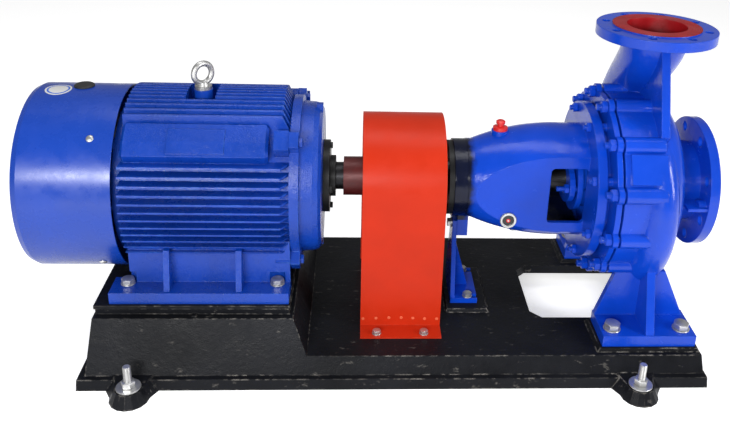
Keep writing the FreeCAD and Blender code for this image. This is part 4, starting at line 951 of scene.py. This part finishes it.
class PUMP_OT_casing_nuts(PumpOperator, bpy.types.Operator):
    """Painted studs and nuts of the casing, the bracket flange and the gland"""
    bl_idname = "pump.casing_nuts"
    bl_label = "Casing nuts"

    def execute(self, context):
        bm = bmesh.new()
        for i in range(12):
            seat = around_shaft(0.195, 15.0 + 30.0 * i, -0.100)
            nutted_stud(bm, seat, TO_MOTOR, M16, (0.011, 0.012), (0.0505, 0.0605))
        settle("casing_nut_set", bm, ["pump"], SET, ("casing_nuts", "casing_studs"))
        bm = bmesh.new()
        for i in range(8):
            seat = around_shaft(0.158, 22.5 + 45.0 * i, -0.132)
            nutted_stud(bm, seat, TO_MOTOR, M12, (0.008, 0.009), (0.038, 0.046))
        settle("bracket_nut_set", bm, ["pump"], SET, ("bracket_nuts", "bracket_studs"))
        bm = bmesh.new()
        for y in GLAND_STUDS:
            nut(bm, place(-0.163, y, 0), TO_MOTOR, M12)
        settle("gland_nut_pair", bm, ["pump"], "gland", ("gland_nuts",))
        bm = bmesh.new()
        for y in GLAND_STUDS:
            rod(bm, place(-0.123, y, 0), TO_MOTOR, M12 / 2.0, 0.030)
            thread(bm, place(-0.152, y, 0), TO_MOTOR, M12, 0.038)
        settle("gland_stud_pair", bm, ["pump"], SET, ("gland_studs",))
        dress("pump", "packing_gland")
        return {"FINISHED"}


SIGHT_GLASS_SEAT = place(-0.296, -0.088, -0.060)
# the sight glass from its rim inwards: finish, sides, and (radius, height) pairs
SIGHT_GLASS = [
    ("zinc", 56, [(0.0130, -0.0098), (0.0130, 0.0), (0.0180, 0.0), (0.0180, 0.0034), (0.0168, 0.0049),
                  (0.0134, 0.0049), (0.0122, 0.0036), (0.0120, 0.0018)]),
    ("gauge_black", 56, [(0.0121, 0.0016), (0.0121, 0.0026), (0.0080, 0.0034), (0.0020, 0.0037)]),
    ("gauge_red", 40, [(0.0045, 0.0030), (0.0045, 0.0040), (0.0036, 0.0044)]),
    ("label_white", 32, [(0.0020, 0.0042), (0.0020, 0.0046), (0.0014, 0.0048)]),
]


class PUMP_OT_bracket(PumpOperator, bpy.types.Operator):
    """Blue bearing bracket with its covers, stand, sight glass and filler cap"""
    bl_idname = "pump.bracket"
    bl_label = "Bearing bracket"

    def execute(self, context):
        dress("bracket", "bearing_bracket")
        dress("pump", "support_stand")
        dress("black_paint", "bearing_covers")
        dress("turned_steel", "drain_plug")
        dress("cap_red", "filler_cap")
        bm = bmesh.new()
        for a in DIAGONALS:
            bolt(bm, around_shaft(0.070, a, -0.425), TO_MOTOR, M10, 0.029)
            bolt(bm, around_shaft(0.0645, a, -0.215), TO_SUCTION, M10, 0.029)
        settle("bearing_cover_bolt_set", bm, ["black_paint"], SET,
               ("bearing_cover_bolts",))
        bm = bmesh.new()
        bolt(bm, place(-0.407, 0, -0.113), TO_MOTOR, M12, 0.032, 0.002)
        for y in (-0.055, 0.055):
            bolt(bm, place(-0.368, y, -0.273), UP, M12, 0.032, 0.002)
        settle("stand_bolt_set", bm, ["zinc"], SET, ("stand_bolts",))
        bm = bmesh.new()
        for i, (_, sides, profile) in enumerate(SIGHT_GLASS):
            lathe(bm, SIGHT_GLASS_SEAT, TO_VIEWER, profile, sides, i)
        finishes = [name for name, _, _ in SIGHT_GLASS]
        settle("sight_glass", bm, finishes, SET, ("oil_sight_glass",))
        return {"FINISHED"}


class PUMP_OT_foot_bolts(PumpOperator, bpy.types.Operator):
    """Four large bolts through the casing feet"""
    bl_idname = "pump.foot_bolts"
    bl_label = "Pump foot bolts"

    def execute(self, context):
        bm = bmesh.new()
        for seat in corners((-0.075, 0.075), (-0.200, 0.200), -0.259):
            bolt(bm, seat, UP, M20, 0.046, 0.003)
        settle("pump_foot_bolt_set", bm, ["zinc"], SET, ("pump_foot_bolts",))
        return {"FINISHED"}


class PUMP_OT_pump_inside(PumpOperator, bpy.types.Operator):
    """Shaft, sleeve, impeller, rings and bearings inside the pump"""
    bl_idname = "pump.pump_inside"
    bl_label = "Pump inside"

    def execute(self, context):
        dress("turned_steel", "pump_shaft", "pump_bearings")
        # the sleeve's dark steel is painted shade inside the lantern
        dress("oily_steel", "shaft_sleeve")
        dress("cast_iron", "impeller")
        dress("bronze", "impeller_nut", "casing_wear_ring")
        dress("braid", "packing_rings")
        return {"FINISHED"}


FLOOR_REACH = 150.0
FLOOR_DROP = 0.0004
FLOOR_COLOUR = (0.90, 0.90, 0.90, 1.0)
WHITE = (1.0, 1.0, 1.0, 1.0)
# name, setting of its power, place, width and height
LAMPS = [("key_lamp", "key_power", (-0.9, -3.0, 1.45), 1.7, 0.42),
         ("fill_lamp", "fill_power", (2.8, -1.4, 1.5), 0.4, 1.6),
         ("top_lamp", "top_power", (0.1, 0.2, 3.2), 2.6, 0.9)]
LAMP_AIM = Vector((0, 0, 0.3))


class PUMP_OT_studio(PumpOperator, bpy.types.Operator):
    """Pale floor, soft lamps and the camera of the photograph"""
    bl_idname = "pump.studio"
    bl_label = "Studio"

    def execute(self, context):
        scene = context.scene
        self.floor(scene)
        for name, power, location, wide, high in LAMPS:
            self.lamp(scene, name, location, wide, high, getattr(scene.pump_studio, power))
        world = bpy.data.worlds.new("room")
        world.use_nodes = True
        background = world.node_tree.nodes["Background"]
        background.inputs["Color"].default_value = WHITE
        background.inputs["Strength"].default_value = scene.pump_studio.sky
        scene.world = world
        scene.view_settings.view_transform = "Standard"
        self.camera(scene)
        return {"FINISHED"}

    def floor(self, scene):
        bm = bmesh.new()
        bmesh.ops.create_grid(bm, x_segments=8, y_segments=8, size=FLOOR_REACH)
        mesh = bpy.data.meshes.new("floor")
        bm.to_mesh(mesh)
        bm.free()
        floor = bpy.data.objects.new("floor", mesh)
        scene.collection.objects.link(floor)
        floor.location = (0, 0, -FLOOR_DROP)
        material = bpy.data.materials.new("pale_floor")
        material.use_nodes = True
        tree = material.node_tree
        shader = tree.nodes["Principled BSDF"]
        shader.inputs["Base Color"].default_value = FLOOR_COLOUR
        shader.inputs["Roughness"].default_value = 0.8
        rays = add(tree, "LightPath").outputs
        seen = largest(tree, rays["Is Camera Ray"], rays["Is Glossy Ray"], rays["Is Transmission Ray"])
        glow = product(tree, seen, scene.pump_studio.backdrop)
        shader.inputs["Emission Color"].default_value = WHITE
        tree.links.new(glow, shader.inputs["Emission Strength"])
        mesh.materials.append(material)

    def lamp(self, scene, name, location, wide, high, power):
        data = bpy.data.lights.new(name, "AREA")
        data.shape = "RECTANGLE"
        data.size = wide
        data.size_y = high
        data.energy = power
        lamp = bpy.data.objects.new(name, data)
        lamp.location = location
        lamp.rotation_euler = (LAMP_AIM - Vector(location)).to_track_quat("-Z", "Y").to_euler()
        scene.collection.objects.link(lamp)

    def camera(self, scene):
        studio = scene.pump_studio
        data = bpy.data.cameras.new("photo_camera")
        data.sensor_width = 36.0
        data.lens = studio.lens
        data.shift_x = studio.shift[0]
        data.shift_y = studio.shift[1]
        data.clip_start = 0.01
        data.clip_end = 500.0
        level = math.cos(studio.pitch)
        ahead = Vector((math.sin(studio.yaw) * level, math.cos(studio.yaw) * level, math.sin(studio.pitch)))
        right = Vector((math.cos(studio.yaw), -math.sin(studio.yaw), 0.0))
        up = right.cross(ahead)
        c = math.cos(studio.roll)
        s = math.sin(studio.roll)
        turned_right = right * c + up * s
        turned_up = up * c - right * s
        camera = bpy.data.objects.new("photo_camera", data)
        matrix = Matrix((turned_right, turned_up, -ahead)).transposed().to_4x4()
        camera.matrix_world = Matrix.Translation(Vector(studio.camera_at)) @ matrix
        scene.collection.objects.link(camera)
        scene.camera = camera


class PUMP_PT_panel(bpy.types.Panel):
    """Buttons and values of the pump set"""
    bl_idname = "PUMP_PT_panel"
    bl_label = "Pump Set"
    bl_space_type = "VIEW_3D"
    bl_region_type = "UI"
    bl_category = "Pump Set"

    def draw(self, context):
        column = self.layout.column(align=True)
        for operator in OPERATORS:
            column.operator(operator.bl_idname)
        for group in (context.scene.pump_sizes, context.scene.pump_colours, context.scene.pump_studio):
            area = self.layout.box().column()
            for name in group.__annotations__:
                area.prop(group, name)


OPERATORS = (PUMP_OT_baseplate, PUMP_OT_foundation, PUMP_OT_motor, PUMP_OT_motor_bolts, PUMP_OT_cowl,
             PUMP_OT_motor_inside, PUMP_OT_coupling, PUMP_OT_guard, PUMP_OT_casing, PUMP_OT_casing_nuts,
             PUMP_OT_bracket, PUMP_OT_foot_bolts, PUMP_OT_pump_inside, PUMP_OT_studio)
CLASSES = (PumpSizes, PumpColours, PumpStudio) + OPERATORS + (PUMP_PT_panel,)


def register():
    for entry in CLASSES:
        bpy.utils.register_class(entry)
    bpy.types.Scene.pump_sizes = PointerProperty(type=PumpSizes)
    bpy.types.Scene.pump_colours = PointerProperty(type=PumpColours)
    bpy.types.Scene.pump_studio = PointerProperty(type=PumpStudio)


def unregister():
    del bpy.types.Scene.pump_studio
    del bpy.types.Scene.pump_colours
    del bpy.types.Scene.pump_sizes
    for entry in reversed(CLASSES):
        bpy.utils.unregister_class(entry)


def main():
    register()
    for operator in OPERATORS:
        group, name = operator.bl_idname.split(".")
        getattr(getattr(bpy.ops, group), name)()


if __name__ == "__main__":
    main()
